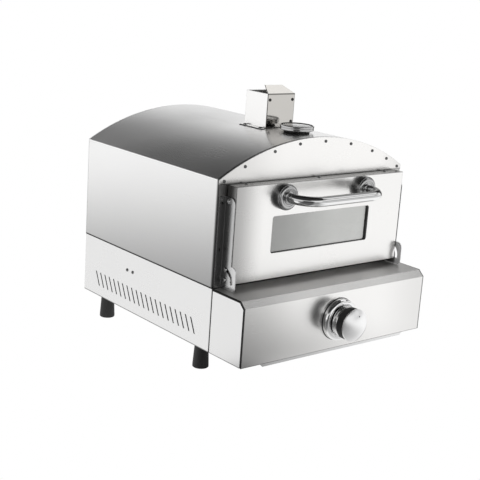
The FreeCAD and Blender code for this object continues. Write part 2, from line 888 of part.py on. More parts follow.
def make_chimney_screws():
    screws = []
    for side in (-1, 1):
        for drop in ("chimney_screw_top", "chimney_screw_bottom"):
            screws.append(screw(
                helper("chimney_screw"), f"{side} * (chimney_width / 2 - chimney_screw_inset)",
                "chimney_front", f"chimney_top - {drop}", Y_AXIS * -1, **FLUE_SCREW))
        for y in ("chimney_front + foot_screw_front", "chimney_back - foot_screw_back"):
            x = f"{side} * (chimney_width / 2 + chimney_foot / 2)"
            z = f"{ARCH_CENTRE} + sqrt(({ARCH_RADIUS} + plate) ^ 2 - ({x}) ^ 2)"
            lean = side * math.degrees(math.asin(
                number("chimney_width / 2 + chimney_foot / 2") / number(ARCH_RADIUS)))
            outward = FreeCAD.Rotation(Y_AXIS, lean).multVec(Z_AXIS)
            screws.append(screw(helper("chimney_screw"), x, y, z, outward, **FLUE_SCREW))
    return group("chimney_screws", screws)


def make_chimney(arch, screws):
    """A square duct whose foot follows the roof's curve, closed in front by a polished plate."""
    back = "chimney_back"
    front = "(chimney_front + plate)"
    height = (f"{APEX} - chimney_sink", "chimney_top")
    tube = centred(helper("chimney"), "chimney_width", (front, back), height)
    foot = common(helper("chimney"),
                  centred(helper("chimney"), "chimney_width + 2 * chimney_foot", (front, back),
                          (f"{APEX} - chimney_sink", f"{APEX} + foot_reach")), arch["foot"])
    whole = (f"{APEX} - chimney_sink - past", "chimney_top + past")
    bore = centred(helper("chimney"), "chimney_width - 2 * plate",
                   (f"{front} + plate", f"{back} - plate"), whole)
    gap = centred(helper("chimney"), "chimney_width - 2 * plate_lap",
                  ("chimney_front", f"{front} + 2 * plate"), whole)
    body = union(helper("chimney"), tube, foot)
    cut("chimney", body, bore, gap, arch["roof"], screws)

    plate = centred(helper("chimney_front"), "chimney_width", ("chimney_front", front), height)
    tab = doc.addObject("Part::Wedge", helper("chimney_front"))
    bind(tab, {
        "Xmin": "-chimney_width / 2", "Xmax": "chimney_width / 2",
        "X2min": "-tab_top_width / 2", "X2max": "tab_top_width / 2",
        "Ymin": "0", "Ymax": "tab_rise",
        "Zmin": "0", "Zmax": "tab_slice",
        "Z2min": "-tab_setback", "Z2max": "tab_slice - tab_setback",
    })
    # the wedge's own y runs up and its own z runs to the front
    upright = FreeCAD.Rotation(X_AXIS, 90)
    place(tab, "0", "chimney_front + tab_slice", "chimney_top", upright)
    cut("chimney_front", union(helper("chimney_front"), plate, tab), arch["roof"], screws)


# ---- thermometer -----------------------------------------------------------------------------

def make_thermometer():
    """A dial thermometer on the roof, with its probe down into the chamber."""
    here = ("0", "dial_setback")
    inner = "(dial_radius - dial_rim)"
    bore = "(spindle_radius + spindle_clearance)"
    turned("thermometer_case", "XZ_Plane", [
        (bore, "0"),
        ("dial_radius - dial_foot_inset", "0"),
        ("dial_radius", "dial_foot_rise"),
        ("dial_radius", "dial_height - dial_edge"),
        ("dial_radius - dial_edge", "dial_height"),
        (inner, "dial_height"),
        (inner, "dial_floor"),
        (bore, "dial_floor"),
    ], *here, DIAL_BASE)
    turned("thermometer_dial", "XZ_Plane", [
        ("dial_hole_radius", "dial_floor"),
        (inner, "dial_floor"),
        (inner, "dial_floor + dial_plate"),
        ("dial_hole_radius", "dial_floor + dial_plate"),
    ], *here, DIAL_BASE)
    turned("thermometer_lens", "XZ_Plane", [
        ("0", "lens_bottom"),
        (inner, "lens_bottom"),
        (inner, "lens_rim"),
        ("0", "lens_top"),
    ], *here, DIAL_BASE)
    spindle = rod(helper("thermometer_pointer"), "spindle_radius", "spindle_length", *here,
                  f"{DIAL_BASE} + spindle_start")
    hub = rod(helper("thermometer_pointer"), "pointer_hub_radius", "pointer_hub_height", *here,
              f"{DIAL_BASE} + pointer_hub_start")
    blade = doc.addObject("Part::Wedge", helper("thermometer_pointer"))
    bind(blade, {
        "Xmin": "-pointer_root / 2", "Xmax": "pointer_root / 2",
        "X2min": "-pointer_tip / 2", "X2max": "pointer_tip / 2",
        "Ymin": "0", "Ymax": "pointer_length",
        "Zmin": "0", "Zmax": "pointer_thickness",
        "Z2min": "0", "Z2max": "pointer_thickness",
    })
    # at rest the pointer lies towards the front left, at the cold end of the scale
    place(blade, *here, f"{DIAL_BASE} + pointer_start", FreeCAD.Rotation(Z_AXIS, REST_BEARING))
    union("thermometer_pointer", spindle, hub, blade)
    probe = union(
        "thermometer_probe",
        rod(helper("thermometer_probe"), "probe_neck_radius", "probe_neck_length + nut_height",
            *here, f"{APEX} - probe_neck_length"),
        rod(helper("thermometer_probe"), "probe_radius",
            f"{APEX} - probe_neck_length - probe_tip", *here, "probe_tip"),
    )
    nut = hexagon(helper("thermometer_nut"), "nut_radius", "nut_height", *here, APEX)
    cut("thermometer_nut", nut, probe)


# ---- hinges ----------------------------------------------------------------------------------

def guide_place(lean):
    """Where the guide pin is when it leans forward from above the pivot by an angle."""
    return (f"-pivot_setout - guide_radius * sin(({lean}) * 1 deg)",
            f"pivot_height + guide_radius * cos(({lean}) * 1 deg)")


def make_guide_slot():
    """The arc that the guide pin sweeps as the door comes down."""
    depth, start = "2 * past", "cheek_inside - past"
    half_width = "(pin_radius + guide_clearance)"
    lean = number("guide_lean - slot_play")
    # the sector's first edge points up, leaning forward, and it sweeps towards the front
    turn = FreeCAD.Rotation(X_AXIS, lean).multiply(
        FreeCAD.Rotation(Z_AXIS, Y_AXIS * -1, X_AXIS, "ZXY"))
    sectors = []
    for sign in ("+", "-"):
        sector = doc.addObject("Part::Cylinder", helper("guide_slot"))
        bind(sector, {"Radius": f"guide_radius {sign} {half_width}", "Height": depth,
                      "Angle": "door_travel + 2 * slot_play"})
        sectors.append(place(sector, start, "-pivot_setout", "pivot_height", turn))
    ends = []
    for lean_text in ("guide_lean - slot_play", "guide_lean + door_travel + slot_play"):
        y, z = guide_place(lean_text)
        ends.append(rod(helper("guide_slot"), half_width, depth, start, y, z, X_AXIS))
    return union(helper("guide_slot"), cut(helper("guide_slot"), *sectors), *ends)


def make_hinge_brackets(frame):
    """Angle brackets on the frame beside the door. Each one's cheek ends below in a hinge ear."""
    body = new_body(helper("hinge_bracket_right"))
    cheek = new_sketch(body, "YZ_Plane", "cheek_inside")
    add_polygon(cheek, [
        ("plate", "bracket_bottom"),
        ("ear_bevel - ear_front", "bracket_bottom"),
        ("-ear_front", "bracket_bottom + ear_bevel"),
        ("-ear_front", "ear_top"),
        ("-door_front", "ear_top"),
        ("-door_front", "bracket_top"),
        ("plate", "bracket_top"),
    ])
    pad(body, cheek, "plate")
    leg = new_sketch(body, "XY_Plane", "bracket_bottom")
    add_rectangle(leg, ("cheek_inside", "bracket_edge"), ("0", "plate"))
    pad(body, leg, "bracket_top - bracket_bottom")
    round_edges(body, "cheek_round", X_AXIS, [("-ear_front", "ear_top"), ("-door_front", "bracket_top")])
    hole = rod(helper("pivot_hole"), "pin_radius + pin_clearance", "2 * past",
               "cheek_inside - past", "-pivot_setout", "pivot_height", X_AXIS)
    screws = []
    for side in (-1, 1):
        outward = X_AXIS * side
        screws.append(screw(
            helper("bracket_screw"), f"{side} * (cheek_inside + plate)", "-cheek_screw_setout",
            "cheek_screw_height", outward, **CHEEK_SCREW))
        for z in ("bracket_bottom + leg_screw_low", "bracket_top - leg_screw_high"):
            screws.append(screw(
                helper("bracket_screw"), f"{side} * (cheek_inside + leg_screw_offset)", "0", z,
                Y_AXIS * -1, **SHORT_SCREW))
    fasteners = group("bracket_screws", screws)
    right = cut("hinge_bracket_right", body, hole, make_guide_slot(), fasteners)
    mirrored("hinge_bracket_left", right)
    cut("front_frame", frame, fasteners)


def make_hinge_pins():
    """Shouldered pins fixed in the door's sides: a pivot and a guide on each side."""
    def pins(label, y, z, head):
        pair = []
        for side in (-1, 1):
            outward = X_AXIS * side
            start = f"{side} * ({DOOR_HALF} - pin_root)"
            pair.append(union(
                helper(label),
                rod(helper(label), "pin_radius", "pin_length", start, y, z, outward),
                rod(helper(label), "collet_radius", "collet_length", start, y, z, outward),
                stud(helper(label), head, f"{head} - pin_head_bevel", "pin_head_height",
                     f"{side} * (cheek_inside + plate + guide_clearance)", y, z, outward),
            ))
        return group(label, pair)

    pivots = pins("pivot_pins", "-pivot_setout", "pivot_height", "pivot_head_radius")
    guides = pins("guide_pins", *guide_place("guide_lean"), "guide_head_radius")
    return pivots, guides


# ---- door ------------------------------------------------------------------------------------

def window_ring(label, margin, y):
    """A rectangular ring around the window's opening."""
    outer = centred(helper(label), f"window_width + 2 * {margin}", y,
                    (f"window_bottom - {margin}", f"window_top + {margin}"))
    inner = centred(helper(label), "window_width", (f"{y[0]} - past", f"{y[1]} + past"),
                    ("window_bottom", "window_top"))
    return cut(label, outer, inner)


def make_door_screws():
    screws = []
    for z, towards in (("door_top", Z_AXIS), ("door_bottom", Z_AXIS * -1)):
        for step in (-1, 0, 1):
            screws.append(screw(
                helper("door_screw"), f"{step} * door_screw_spread",
                "-door_back - door_screw_setout", z, towards, **PANEL_SCREW))
    return group("door_screws", screws)


def make_handle_bolts():
    """Bolts from inside the door, each with the threaded insert that fills the handle's end."""
    bolts = []
    for side in (-1, 1):
        bolts.append(turned(helper("handle_bolt"), "XY_Plane", [
            ("0", "gauge + bolt_head_height"),
            ("bolt_head_radius", "gauge + bolt_head_height"),
            ("bolt_head_radius", "gauge"),
            ("bolt_radius", "gauge"),
            ("bolt_radius", "0"),
            ("handle_radius - handle_wall", "0"),
            ("handle_radius - handle_wall", "-insert_length"),
            ("0", "-insert_length"),
        ], f"{side} * handle_span / 2", "-door_front", "handle_height"))
    return group("handle_bolts", bolts)


def make_door_shell(*fasteners):
    """A shallow pan with its open side to the oven, and a window in its face."""
    body = new_body(helper("door_shell"))
    front = "door_front"
    depth = "(door_front - door_back)"
    face = new_sketch(body, "XZ_Plane", front)
    add_rectangle(face, (f"-{DOOR_HALF}", DOOR_HALF), ("door_bottom", "door_top"))
    pad(body, face, depth, reverse=True)
    ring = [(f"-{DOOR_HALF}", "-door_front"), (DOOR_HALF, "-door_front")]
    round_edges(body, "door_bend", Z_AXIS, ring)
    inside = new_sketch(body, "XZ_Plane", "door_back")
    add_rectangle(inside, (f"gauge - {DOOR_HALF}", f"{DOOR_HALF} - gauge"),
                  ("door_bottom + gauge", "door_top - gauge"))
    pocket(body, inside, f"{depth} - gauge", reverse=True)
    window = new_sketch(body, "XZ_Plane", front)
    add_rectangle(window, ("-window_width / 2", "window_width / 2"),
                  ("window_bottom", "window_top"))
    pocket(body, window, "6 * gauge", both_ways=True)
    corners = [(f"{side} * window_width / 2", z) for side in (-1, 1)
               for z in ("window_bottom", "window_top")]
    round_edges(body, "window_radius", Y_AXIS, corners)
    cut("door_shell", body, *fasteners)


def make_door():
    pivots, guides = make_hinge_pins()
    bolts = make_handle_bolts()
    make_door_shell(pivots, guides, bolts, make_door_screws())
    skin = "(-door_front + gauge)"
    window_ring("window_gasket", "glass_margin", (skin, f"{skin} + gasket_depth"))
    glass = (f"{skin} + gasket_depth", f"{skin} + gasket_depth + glass_thickness")
    centred("window_glass", "window_width + 2 * glass_margin", glass,
            ("window_bottom - glass_margin", "window_top + glass_margin"))
    window_ring("glass_clamp", "clamp_margin", (glass[1], f"{glass[1]} + plate"))
    inner = centred(helper("door_inner"), "door_width - 2 * (gauge + door_fit)",
                    ("-door_back - gauge", "-door_back"),
                    ("door_bottom + gauge + door_fit", "door_top - gauge - door_fit"))
    opening = centred(helper("door_inner"), "window_width", ("-door_back - past", "0"),
                      ("window_bottom", "window_top"))
    cut("door_inner", inner, opening)
    make_handle()


def make_handle():
    """A bent tube between two round feet on the door's face."""
    leg = "handle_span / 2"
    reach = "-door_front - handle_standoff"
    bent_tube("handle_bar", "XY_Plane", [
        (f"-{leg}", "-door_front"), (f"-{leg}", reach), (leg, reach), (leg, "-door_front"),
    ], "handle_bend", "handle_radius", "handle_radius - handle_wall", z="handle_height")
    for label, side in (("handle_rosette_left", -1), ("handle_rosette_right", 1)):
        turned(label, "XY_Plane", [
            ("handle_radius", "0"),
            ("rosette_radius", "0"),
            ("rosette_radius", "rosette_shoulder - rosette_depth"),
            ("rosette_radius - rosette_step_inset", "rosette_step - rosette_depth"),
            ("rosette_radius - rosette_face_inset", "-rosette_depth"),
            ("handle_radius + collar_lip", "-rosette_depth"),
            ("handle_radius + collar_wall", "collar_drop - rosette_depth"),
            ("handle_radius", "collar_drop - rosette_depth"),
        ], f"{side} * {leg}", "-door_front", "handle_height")


# ---- knob and gas way ------------------------------------------------------------------------

def make_knob():
    """A push-and-turn knob in a round bezel: a grip on the valve's stem, with a domed cap."""
    height = {"z": "knob_height"}
    bezel = turned("knob_bezel", "XY_Plane", [
        ("hub_radius + hub_gap", "-control_depth"),
        ("bezel_radius", "-control_depth"),
        ("bezel_radius", "-control_depth - bezel_depth"),
        ("bezel_bore", "-control_depth - bezel_depth"),
        ("bezel_bore", "-control_depth - bezel_floor"),
        ("hub_radius + hub_gap", "-control_depth - bezel_floor"),
    ], **height)
    doc.recompute()
    rim = [f"Edge{index}" for index, edge in enumerate(bezel.Tip.Shape.Edges, 1)
           if is_circle(edge, number("bezel_radius"), number("-control_depth - bezel_depth"))]
    add_fillet(bezel, "bezel_round", rim)

    turned("knob_grip", "XY_Plane", [
        ("stem_radius", "-hub_back"),
        ("hub_radius", "-hub_back"),
        ("hub_radius", "-knob_back"),
        ("collar_radius", "-knob_back"),
        ("collar_radius", "-grip_start"),
        ("grip_radius", "-grip_start - grip_bevel"),
        ("grip_radius", "-grip_end"),
        ("stem_radius", "-grip_end"),
    ], **height)
    rim_rod = rod(helper("knob_cap"), "cap_radius", "knob_front - grip_end", "0", "-knob_front",
                  "knob_height", Y_AXIS)
    ball = doc.addObject("Part::Sphere", helper("knob_cap"))
    bind(ball, {"Radius": "cap_sphere"})
    place(ball, "0", "cap_sphere - knob_front", "knob_height")
    common("knob_cap", rim_rod, ball)
    rod("valve_stem", "stem_radius", "grip_end - stem_back", "0", "-grip_end", "knob_height",
        Y_AXIS)


def is_circle(edge, radius, y):
    """Whether an edge is a circle of the radius about the Y axis, at a y of the body's frame."""
    curve = edge.Curve
    return (isinstance(curve, Part.Circle) and abs(curve.Radius - radius) < 0.01
            and abs(curve.Center.y - y) < 0.01)


def make_valve():
    """The tap behind the cover: a body, and a plug in it that the stem slides in and turns."""
    centre = "knob_height"
    bore = "(stem_radius + stem_clearance)"
    plug_front, plug_back = "(valve_front - plug_inset)", "(valve_back + plug_floor)"
    turned("valve_plug", "XY_Plane", [
        (bore, f"-{plug_front}"),
        ("plug_radius", f"-{plug_front}"),
        ("plug_radius", f"-{plug_back}"),
        ("0", f"-{plug_back}"),
        ("0", "-(stem_back - knob_push - stem_gap)"),
        (bore, "-(stem_back - knob_push - stem_gap)"),
    ], z=centre)
    half = "valve_half"
    body = union(
        helper("gas_valve"),
        centred(helper("gas_valve"), f"2 * {half}", ("-valve_front", "-valve_back"),
                (f"{centre} - {half}", f"{centre} + {half}")),
        rod(helper("gas_valve"), "jet_radius", "jet_length", "0", "-valve_back", centre, Y_AXIS),
        block(helper("gas_valve"), ("-electrode_offset - igniter_reach", f"-{half}"),
              ("igniter_front - valve_front", "-valve_back - lead_start"),
              (f"{centre} - {half} / 2", f"{centre} + {half}")),
    )
    chamber = rod(helper("gas_valve"), "plug_radius + stem_clearance",
                  f"{plug_front} - {plug_back} + 2 * plug_gap", "0",
                  f"-{plug_front} - plug_gap", centre, Y_AXIS)
    mouth = rod(helper("gas_valve"), f"{bore} + plug_gap", "plug_inset + past", "0",
                "-valve_front - past", centre, Y_AXIS)
    jet = rod(helper("gas_valve"), "jet_bore", "jet_length + past", "0", f"-{plug_back} + 1",
              centre, Y_AXIS)
    cut("gas_valve", body, chamber, mouth, jet)
    make_spring()


def make_spring():
    """The return spring round the stem, between the tap and the knob's hub."""
    body = new_body("knob_spring", "0", "-valve_front - spring_wire", "knob_height")
    section = new_sketch(body, "XY_Plane")
    add_circle(section, "spring_radius", "0", "spring_wire")
    doc.recompute()
    coil = body.newObject("PartDesign::AdditiveHelix", "knob_spring_coil")
    coil.Profile = section
    coil.ReferenceAxis = (section, ["V_Axis"])
    coil.Mode = HEIGHT_AND_TURNS
    coil.Reversed = True
    bind(coil, {"Height": "hub_back - valve_front - 2 * spring_wire - spring_gap",
                "Turns": "spring_turns"})


def make_gas_way():
    inlet_face = "body_depth"
    thread_start = f"({inlet_face} + inlet_hex_depth)"
    tail = f"({inlet_face} - inlet_tail)"
    x, z = "inlet_offset", "inlet_height"
    fitting = union(
        helper("gas_inlet"),
        hexagon(helper("gas_inlet"), "inlet_hex_radius", "inlet_hex_depth", x, inlet_face, z,
                Y_AXIS),
        rod(helper("gas_inlet"), "inlet_thread_radius", "inlet_reach - inlet_hex_depth", x,
            thread_start, z, Y_AXIS),
        rod(helper("gas_inlet"), "inlet_thread_radius", "inlet_tail", x, tail, z, Y_AXIS),
    )
    bore = rod(helper("gas_inlet"), "pipe_radius - pipe_wall",
               "inlet_tail + inlet_reach + 2 * past", x, f"{tail} - past", z, Y_AXIS)
    cut("gas_inlet", fitting, bore)
    feed = "-(valve_front + valve_back) / 2"
    bent_tube("gas_pipe", "XY_Plane", [(x, tail), (x, feed), ("valve_half", feed)],
              "pipe_bend", "pipe_radius", "pipe_radius - pipe_wall", z=z)
    bent_tube("mixer_tube", "YZ_Plane", [
        ("-mixer_start", "knob_height"),
        ("burner_start + mixer_setback", "knob_height"),
        ("burner_start + mixer_setback", "burner_height - burner_radius"),
    ], "mixer_bend", "mixer_radius", "mixer_radius - gauge")
    make_burner()
    make_igniter()


def make_burner():
    """A closed tube with a row of flame ports along its top, fed from below."""
    body = new_body("burner")
    section = new_sketch(body, "XZ_Plane", "-burner_start")
    add_circle(section, "0", "burner_height", "burner_radius")
    pad(body, section, "burner_end - burner_start", reverse=True)
    bore = new_sketch(body, "XZ_Plane", "-burner_start - burner_cap")
    add_circle(bore, "0", "burner_height", "burner_radius - gauge")
    pocket(body, bore, "burner_end - burner_start - 2 * burner_cap")
    port = new_sketch(body, "XY_Plane", "burner_height + burner_radius + gauge")
    add_circle(port, "0", "burner_start + port_pitch", "port_radius")
    hole = pocket(body, port, "4 * gauge")
    row = body.newObject("PartDesign::LinearPattern", "burner_port_row")
    row.Originals = [hole]
    row.Direction = (port, ["V_Axis"])
    bind(row, {"Length": "port_pitch * (port_count - 1)", "Occurrences": "port_count"})
    body.Tip = row


def make_igniter():
    """A spark electrode beside the burner, and its lead up from the igniter on the tap."""
    x, z = "-electrode_offset", "burner_height"
    union(
        "spark_electrode",
        rod(helper("spark_electrode"), "ceramic_radius", "ceramic_length", x, "electrode_start",
            z, Y_AXIS),
        rod(helper("spark_electrode"), "electrode_radius", "electrode_length", x,
            "electrode_start + ceramic_length", z, Y_AXIS),
    )
    bent_tube("ignition_lead", "YZ_Plane", [
        ("-valve_back - lead_start", "lead_height"),
        ("lead_rise_setback", "lead_height"),
        ("lead_rise_setback", z),
        ("electrode_start", z),
    ], "lead_bend", "lead_radius", x=x)


# ---- assembly --------------------------------------------------------------------------------

SUBPARTS = (
    "base_side_left", "base_side_right", "base_rear", "bottom_pan", "control_cover",
    "control_side_left", "control_side_right", "foot_front_left", "foot_front_right",
    "foot_rear_left", "foot_rear_right", "foot_bolts", "side_screws", "outer_shell", "facia",
    "front_frame", "rear_panel", "liner", "insulation", "panel_screws", "flue_duct", "chimney",
    "chimney_front", "chimney_screws", "thermometer_case", "thermometer_dial",
    "thermometer_pointer", "thermometer_lens", "thermometer_probe", "thermometer_nut",
    "pizza_stone", "stone_rails", "burner", "mixer_tube", "gas_valve", "valve_plug",
    "valve_stem", "knob_spring", "knob_bezel", "knob_grip", "knob_cap", "gas_pipe", "gas_inlet",
    "spark_electrode", "ignition_lead", "door_shell", "door_inner", "window_glass",
    "window_gasket", "glass_clamp", "door_screws", "handle_bar", "handle_rosette_left",
    "handle_rosette_right", "handle_bolts", "hinge_bracket_left", "hinge_bracket_right",
    "pivot_pins", "guide_pins", "bracket_screws",
)


def make_oven_body():
    arch = make_arch_tools()
    panel_screws = make_panel_screws()
    chimney_screws = make_chimney_screws()
    flue_hole = centred(helper("flue_hole"), "flue_width", ("flue_front", "flue_back"),
                        ("cavity_top - past", f"{APEX} + past"))
    probe_hole = rod(helper("probe_hole"), "probe_neck_radius", f"{APEX} + 2 * past - probe_tip",
                     "0", "dial_setback", "probe_tip - past")
    make_shell(arch, (flue_hole, probe_hole, chimney_screws))
    frame = make_end_plates(arch, panel_screws)
    make_chamber(flue_hole, probe_hole)
    make_stone()
    make_flue_duct()
    make_chimney(arch, chimney_screws)
    make_thermometer()
    make_hinge_brackets(frame)


def write_parts():
    failed = [each.Label for each in doc.Objects
              if "Invalid" in each.State or "Error" in each.State]
    if failed:
        raise SystemExit(f"objects that failed: {failed}")
    shapes = {}
    for label in SUBPARTS:
        shape = doc.getObjectsByLabel(label)[0].Shape
        if shape.isNull() or not shape.isValid() or not shape.Solids:
            raise SystemExit(f"{label} has no valid solid")
        shapes[label] = shape
    os.makedirs("parts", exist_ok=True)
    for label, shape in shapes.items():
        shape.exportStep(f"parts/{label}.step")


fill_sheet()
make_base()
make_oven_body()
make_door()
make_knob()
make_valve()
make_gas_way()
doc.recompute()
write_parts()
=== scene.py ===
"""Looks of the countertop pizza oven: materials, small details, studio and camera.

Lengths are in metres, in the CAD model's frame: X to the right of a person facing the door,
Y from the door towards the back and Z up. Most places come from the CAD nodes' boxes."""
import json
import math

import bmesh
import bpy
from mathutils import Matrix, Vector

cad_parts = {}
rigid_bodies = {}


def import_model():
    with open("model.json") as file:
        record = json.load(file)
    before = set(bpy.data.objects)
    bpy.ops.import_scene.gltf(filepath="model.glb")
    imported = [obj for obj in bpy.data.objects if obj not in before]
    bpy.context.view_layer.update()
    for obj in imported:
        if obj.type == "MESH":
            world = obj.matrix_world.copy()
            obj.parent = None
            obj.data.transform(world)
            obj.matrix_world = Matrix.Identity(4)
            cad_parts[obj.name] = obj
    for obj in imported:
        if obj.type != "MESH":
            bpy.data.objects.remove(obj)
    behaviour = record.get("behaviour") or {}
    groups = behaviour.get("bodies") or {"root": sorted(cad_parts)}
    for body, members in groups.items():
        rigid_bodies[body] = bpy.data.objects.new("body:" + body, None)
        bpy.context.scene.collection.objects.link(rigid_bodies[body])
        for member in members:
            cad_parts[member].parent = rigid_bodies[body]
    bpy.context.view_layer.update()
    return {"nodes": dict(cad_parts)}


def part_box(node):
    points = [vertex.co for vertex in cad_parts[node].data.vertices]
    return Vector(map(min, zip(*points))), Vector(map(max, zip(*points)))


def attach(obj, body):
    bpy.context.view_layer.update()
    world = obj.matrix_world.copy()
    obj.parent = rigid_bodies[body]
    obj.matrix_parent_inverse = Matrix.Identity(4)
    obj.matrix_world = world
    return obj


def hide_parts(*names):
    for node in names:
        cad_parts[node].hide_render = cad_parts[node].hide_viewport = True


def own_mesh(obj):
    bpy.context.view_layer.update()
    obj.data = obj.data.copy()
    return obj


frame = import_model()
nodes = frame["nodes"]

X_AXIS, Y_AXIS, Z_AXIS = (Vector(axis) for axis in ((1, 0, 0), (0, 1, 0), (0, 0, 1)))


# ---- places --------------------------------------------------------------------------------

def lowest(node):
    """A CAD node's lowest corner."""
    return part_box(node)[0]


def highest(node):
    """A CAD node's highest corner."""
    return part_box(node)[1]


def middle(points):
    return sum(points, Vector()) / len(points)


HALF_WIDTH = highest("outer_shell").x
SHELL_FRONT, SHELL_FOOT = lowest("outer_shell").y, lowest("outer_shell").z
BASE_FRONT, BASE_FOOT = lowest("base_side_left").y, lowest("base_side_left").z
CONTROL_FRONT, CONTROL_TOP = lowest("control_cover").y, highest("control_cover").z
CHAMFER_FOOT = CONTROL_TOP - 0.010     # lower edge of the chamfer on the control box
DOOR_FACE, DOOR_EDGE = lowest("door_shell").y, highest("door_shell").x
DOOR_TOP, DOOR_MIDDLE = highest("door_shell").z, middle(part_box("door_shell")).z
BRACKET_FRONT = lowest("hinge_bracket_left").y
BAR_HEIGHT = middle(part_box("handle_bar")).z
ROSETTE_ACROSS = 0.087                 # of each rosette's axis, from the middle
KNOB_HEIGHT = middle(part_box("knob_cap")).z
KNOB_BACK, KNOB_FRONT = highest("knob_grip").y, lowest("knob_cap").y
FLUE_TOP, PLATE_EDGE = highest("chimney").z, highest("chimney_front").x
CASE_CENTRE = middle(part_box("thermometer_case")).xy
CASE_FOOT, DIAL_FACE = lowest("thermometer_case").z, highest("thermometer_dial").z
INLET_CENTRE, INLET_END = middle(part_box("gas_inlet")), highest("gas_inlet").y
ROOF_TOP = highest("outer_shell").z
ARCH_RADIUS = 0.38223                  # of the roof, about an axis along Y


def roof(x):
    """The roof's height at a distance from the middle."""
    return ROOF_TOP - ARCH_RADIUS + math.sqrt(ARCH_RADIUS ** 2 - x ** 2)


def roof_normal(x):
    return Vector((x, 0, math.sqrt(ARCH_RADIUS ** 2 - x ** 2))).normalized()


SHOULDER = roof(HALF_WIDTH)            # where the arched roof meets the straight sides


def add_object(name, data):
    """A new object, put into the scene."""
    thing = bpy.data.objects.new(name, data)
    bpy.context.scene.collection.objects.link(thing)
    return thing


# ---- camera --------------------------------------------------------------------------------

def make_camera():
    """The photograph's view, from a fit to the oven's straight edges and corners."""
    place = Vector((-1.1744, -1.3620, 0.6300))
    azimuth, elevation, roll = (math.radians(angle) for angle in (39.83, 14.35, 4.015))
    forward = Vector((math.sin(azimuth) * math.cos(elevation),
                      math.cos(azimuth) * math.cos(elevation), -math.sin(elevation)))
    level = forward.cross(Z_AXIS).normalized()
    upright = level.cross(forward)
    right = level * math.cos(roll) + upright * math.sin(roll)
    up = upright * math.cos(roll) - level * math.sin(roll)
    camera = add_object("camera", bpy.data.cameras.new("camera"))
    camera.data.sensor_width = 36
    camera.data.lens = 79.11
    camera.data.clip_end = 50
    turned = Matrix((right, up, -forward)).transposed()
    camera.matrix_world = Matrix.Translation(place) @ turned.to_4x4()
    bpy.context.scene.camera = camera


# ---- node graphs ---------------------------------------------------------------------------

class Graph:
    """A node tree with one-line node making: inputs are values or other nodes' sockets."""

    def __init__(self, tree):
        self.tree = tree
        tree.nodes.clear()

    def add(self, kind, inputs=None, **settings):
        made = self.tree.nodes.new("ShaderNode" + kind)
        for name, value in settings.items():
            setattr(made, name, value)
        for name, value in (inputs or {}).items():
            if isinstance(value, bpy.types.NodeSocket):
                self.tree.links.new(value, made.inputs[name])
            else:
                made.inputs[name].default_value = value
        return made

    def math(self, operation, a, b=0.0, c=0.0):
        return self.add("Math", {0: a, 1: b, 2: c}, operation=operation).outputs[0]

    def mapped(self, value, low, high, to_low=0.0, to_high=1.0, smooth=False):
        kind = "SMOOTHSTEP" if smooth else "LINEAR"
        return self.add("MapRange", {"Value": value, "From Min": low, "From Max": high,
                                     "To Min": to_low, "To Max": to_high},
                        interpolation_type=kind).outputs["Result"]

    def between(self, value, low, high, soft):
        """1 where value is between low and high, falling to 0 over soft outside them."""
        return self.math("MULTIPLY", self.mapped(value, low - soft, low, smooth=True),
                         self.mapped(value, high, high + soft, 1.0, 0.0, smooth=True))

    def curve(self, value, stops):
        """A grey ramp through (place, brightness) stops."""
        made = self.add("ValToRGB", {"Fac": value})
        elements = made.color_ramp.elements
        while len(elements) < len(stops):
            elements.new(0.5)
        for element, (place, level) in zip(elements, stops):
            element.position = place
            element.color = (level, level, level, 1)
        return made.outputs["Color"]

    def mix(self, factor, a, b, kind="MIX"):
        """Blends two colours, which are the mix node's inputs 6 and 7."""
        return self.add("Mix", {0: factor, 6: a, 7: b}, data_type="RGBA",
                        blend_type=kind).outputs[2]

    def axes(self, where):
        return self.add("SeparateXYZ", {"Vector": where}).outputs

    def toned(self, where, shade, tones):
        """A grey value multiplied by (way, low, high, grey at low, grey at high) factors.

        way is the direction in which the place is measured, in the frame at rest."""
        for way, low, high, at_low, at_high in tones:
            place = self.add("VectorMath", {0: where, 1: way}, operation="DOT_PRODUCT")
            tone = self.mapped(place.outputs["Value"], low, high, at_low, at_high, smooth=True)
            shade = self.math("MULTIPLY", shade, tone)
        return shade

    def darkened(self, shade, amount):
        """A grey value less a part of it; the amount goes from 0 to 1."""
        return self.math("MULTIPLY", shade, self.math("SUBTRACT", 1.0, amount))

    def noise(self, where, scale, detail=4.0, rough=0.6, **more):
        return self.add("TexNoise", {"Vector": where, "Scale": scale, "Detail": detail,
                                     "Roughness": rough, **more}).outputs["Fac"]

    def tinted(self, colour, shade):
        """The colour multiplied by a grey value."""
        tint = self.add("CombineColor", {"Red": shade, "Green": shade, "Blue": shade}).outputs[0]
        return self.mix(1.0, colour, tint, "MULTIPLY")

    def relief(self, height, strength, depth, edge):
        """Fine relief on a surface whose edges are softened by a radius."""
        soft = self.add("Bevel", {"Radius": edge}, samples=4).outputs["Normal"]
        return self.add("Bump", {"Strength": strength, "Distance": depth, "Height": height,
                                 "Normal": soft}).outputs["Normal"]


def new_material(name):
    material = bpy.data.materials.new(name)
    material.use_nodes = True
    return material, Graph(material.node_tree)


def grey(value, warmth=0.0):
    """An opaque grey, warmer or colder by a small amount."""
    return (value * (1 + warmth), value, value * (1 - 1.6 * warmth), 1)


def finish_material(graph, inputs):
    shader = graph.add("BsdfPrincipled", inputs)
    graph.add("OutputMaterial", {"Surface": shader.outputs["BSDF"]})


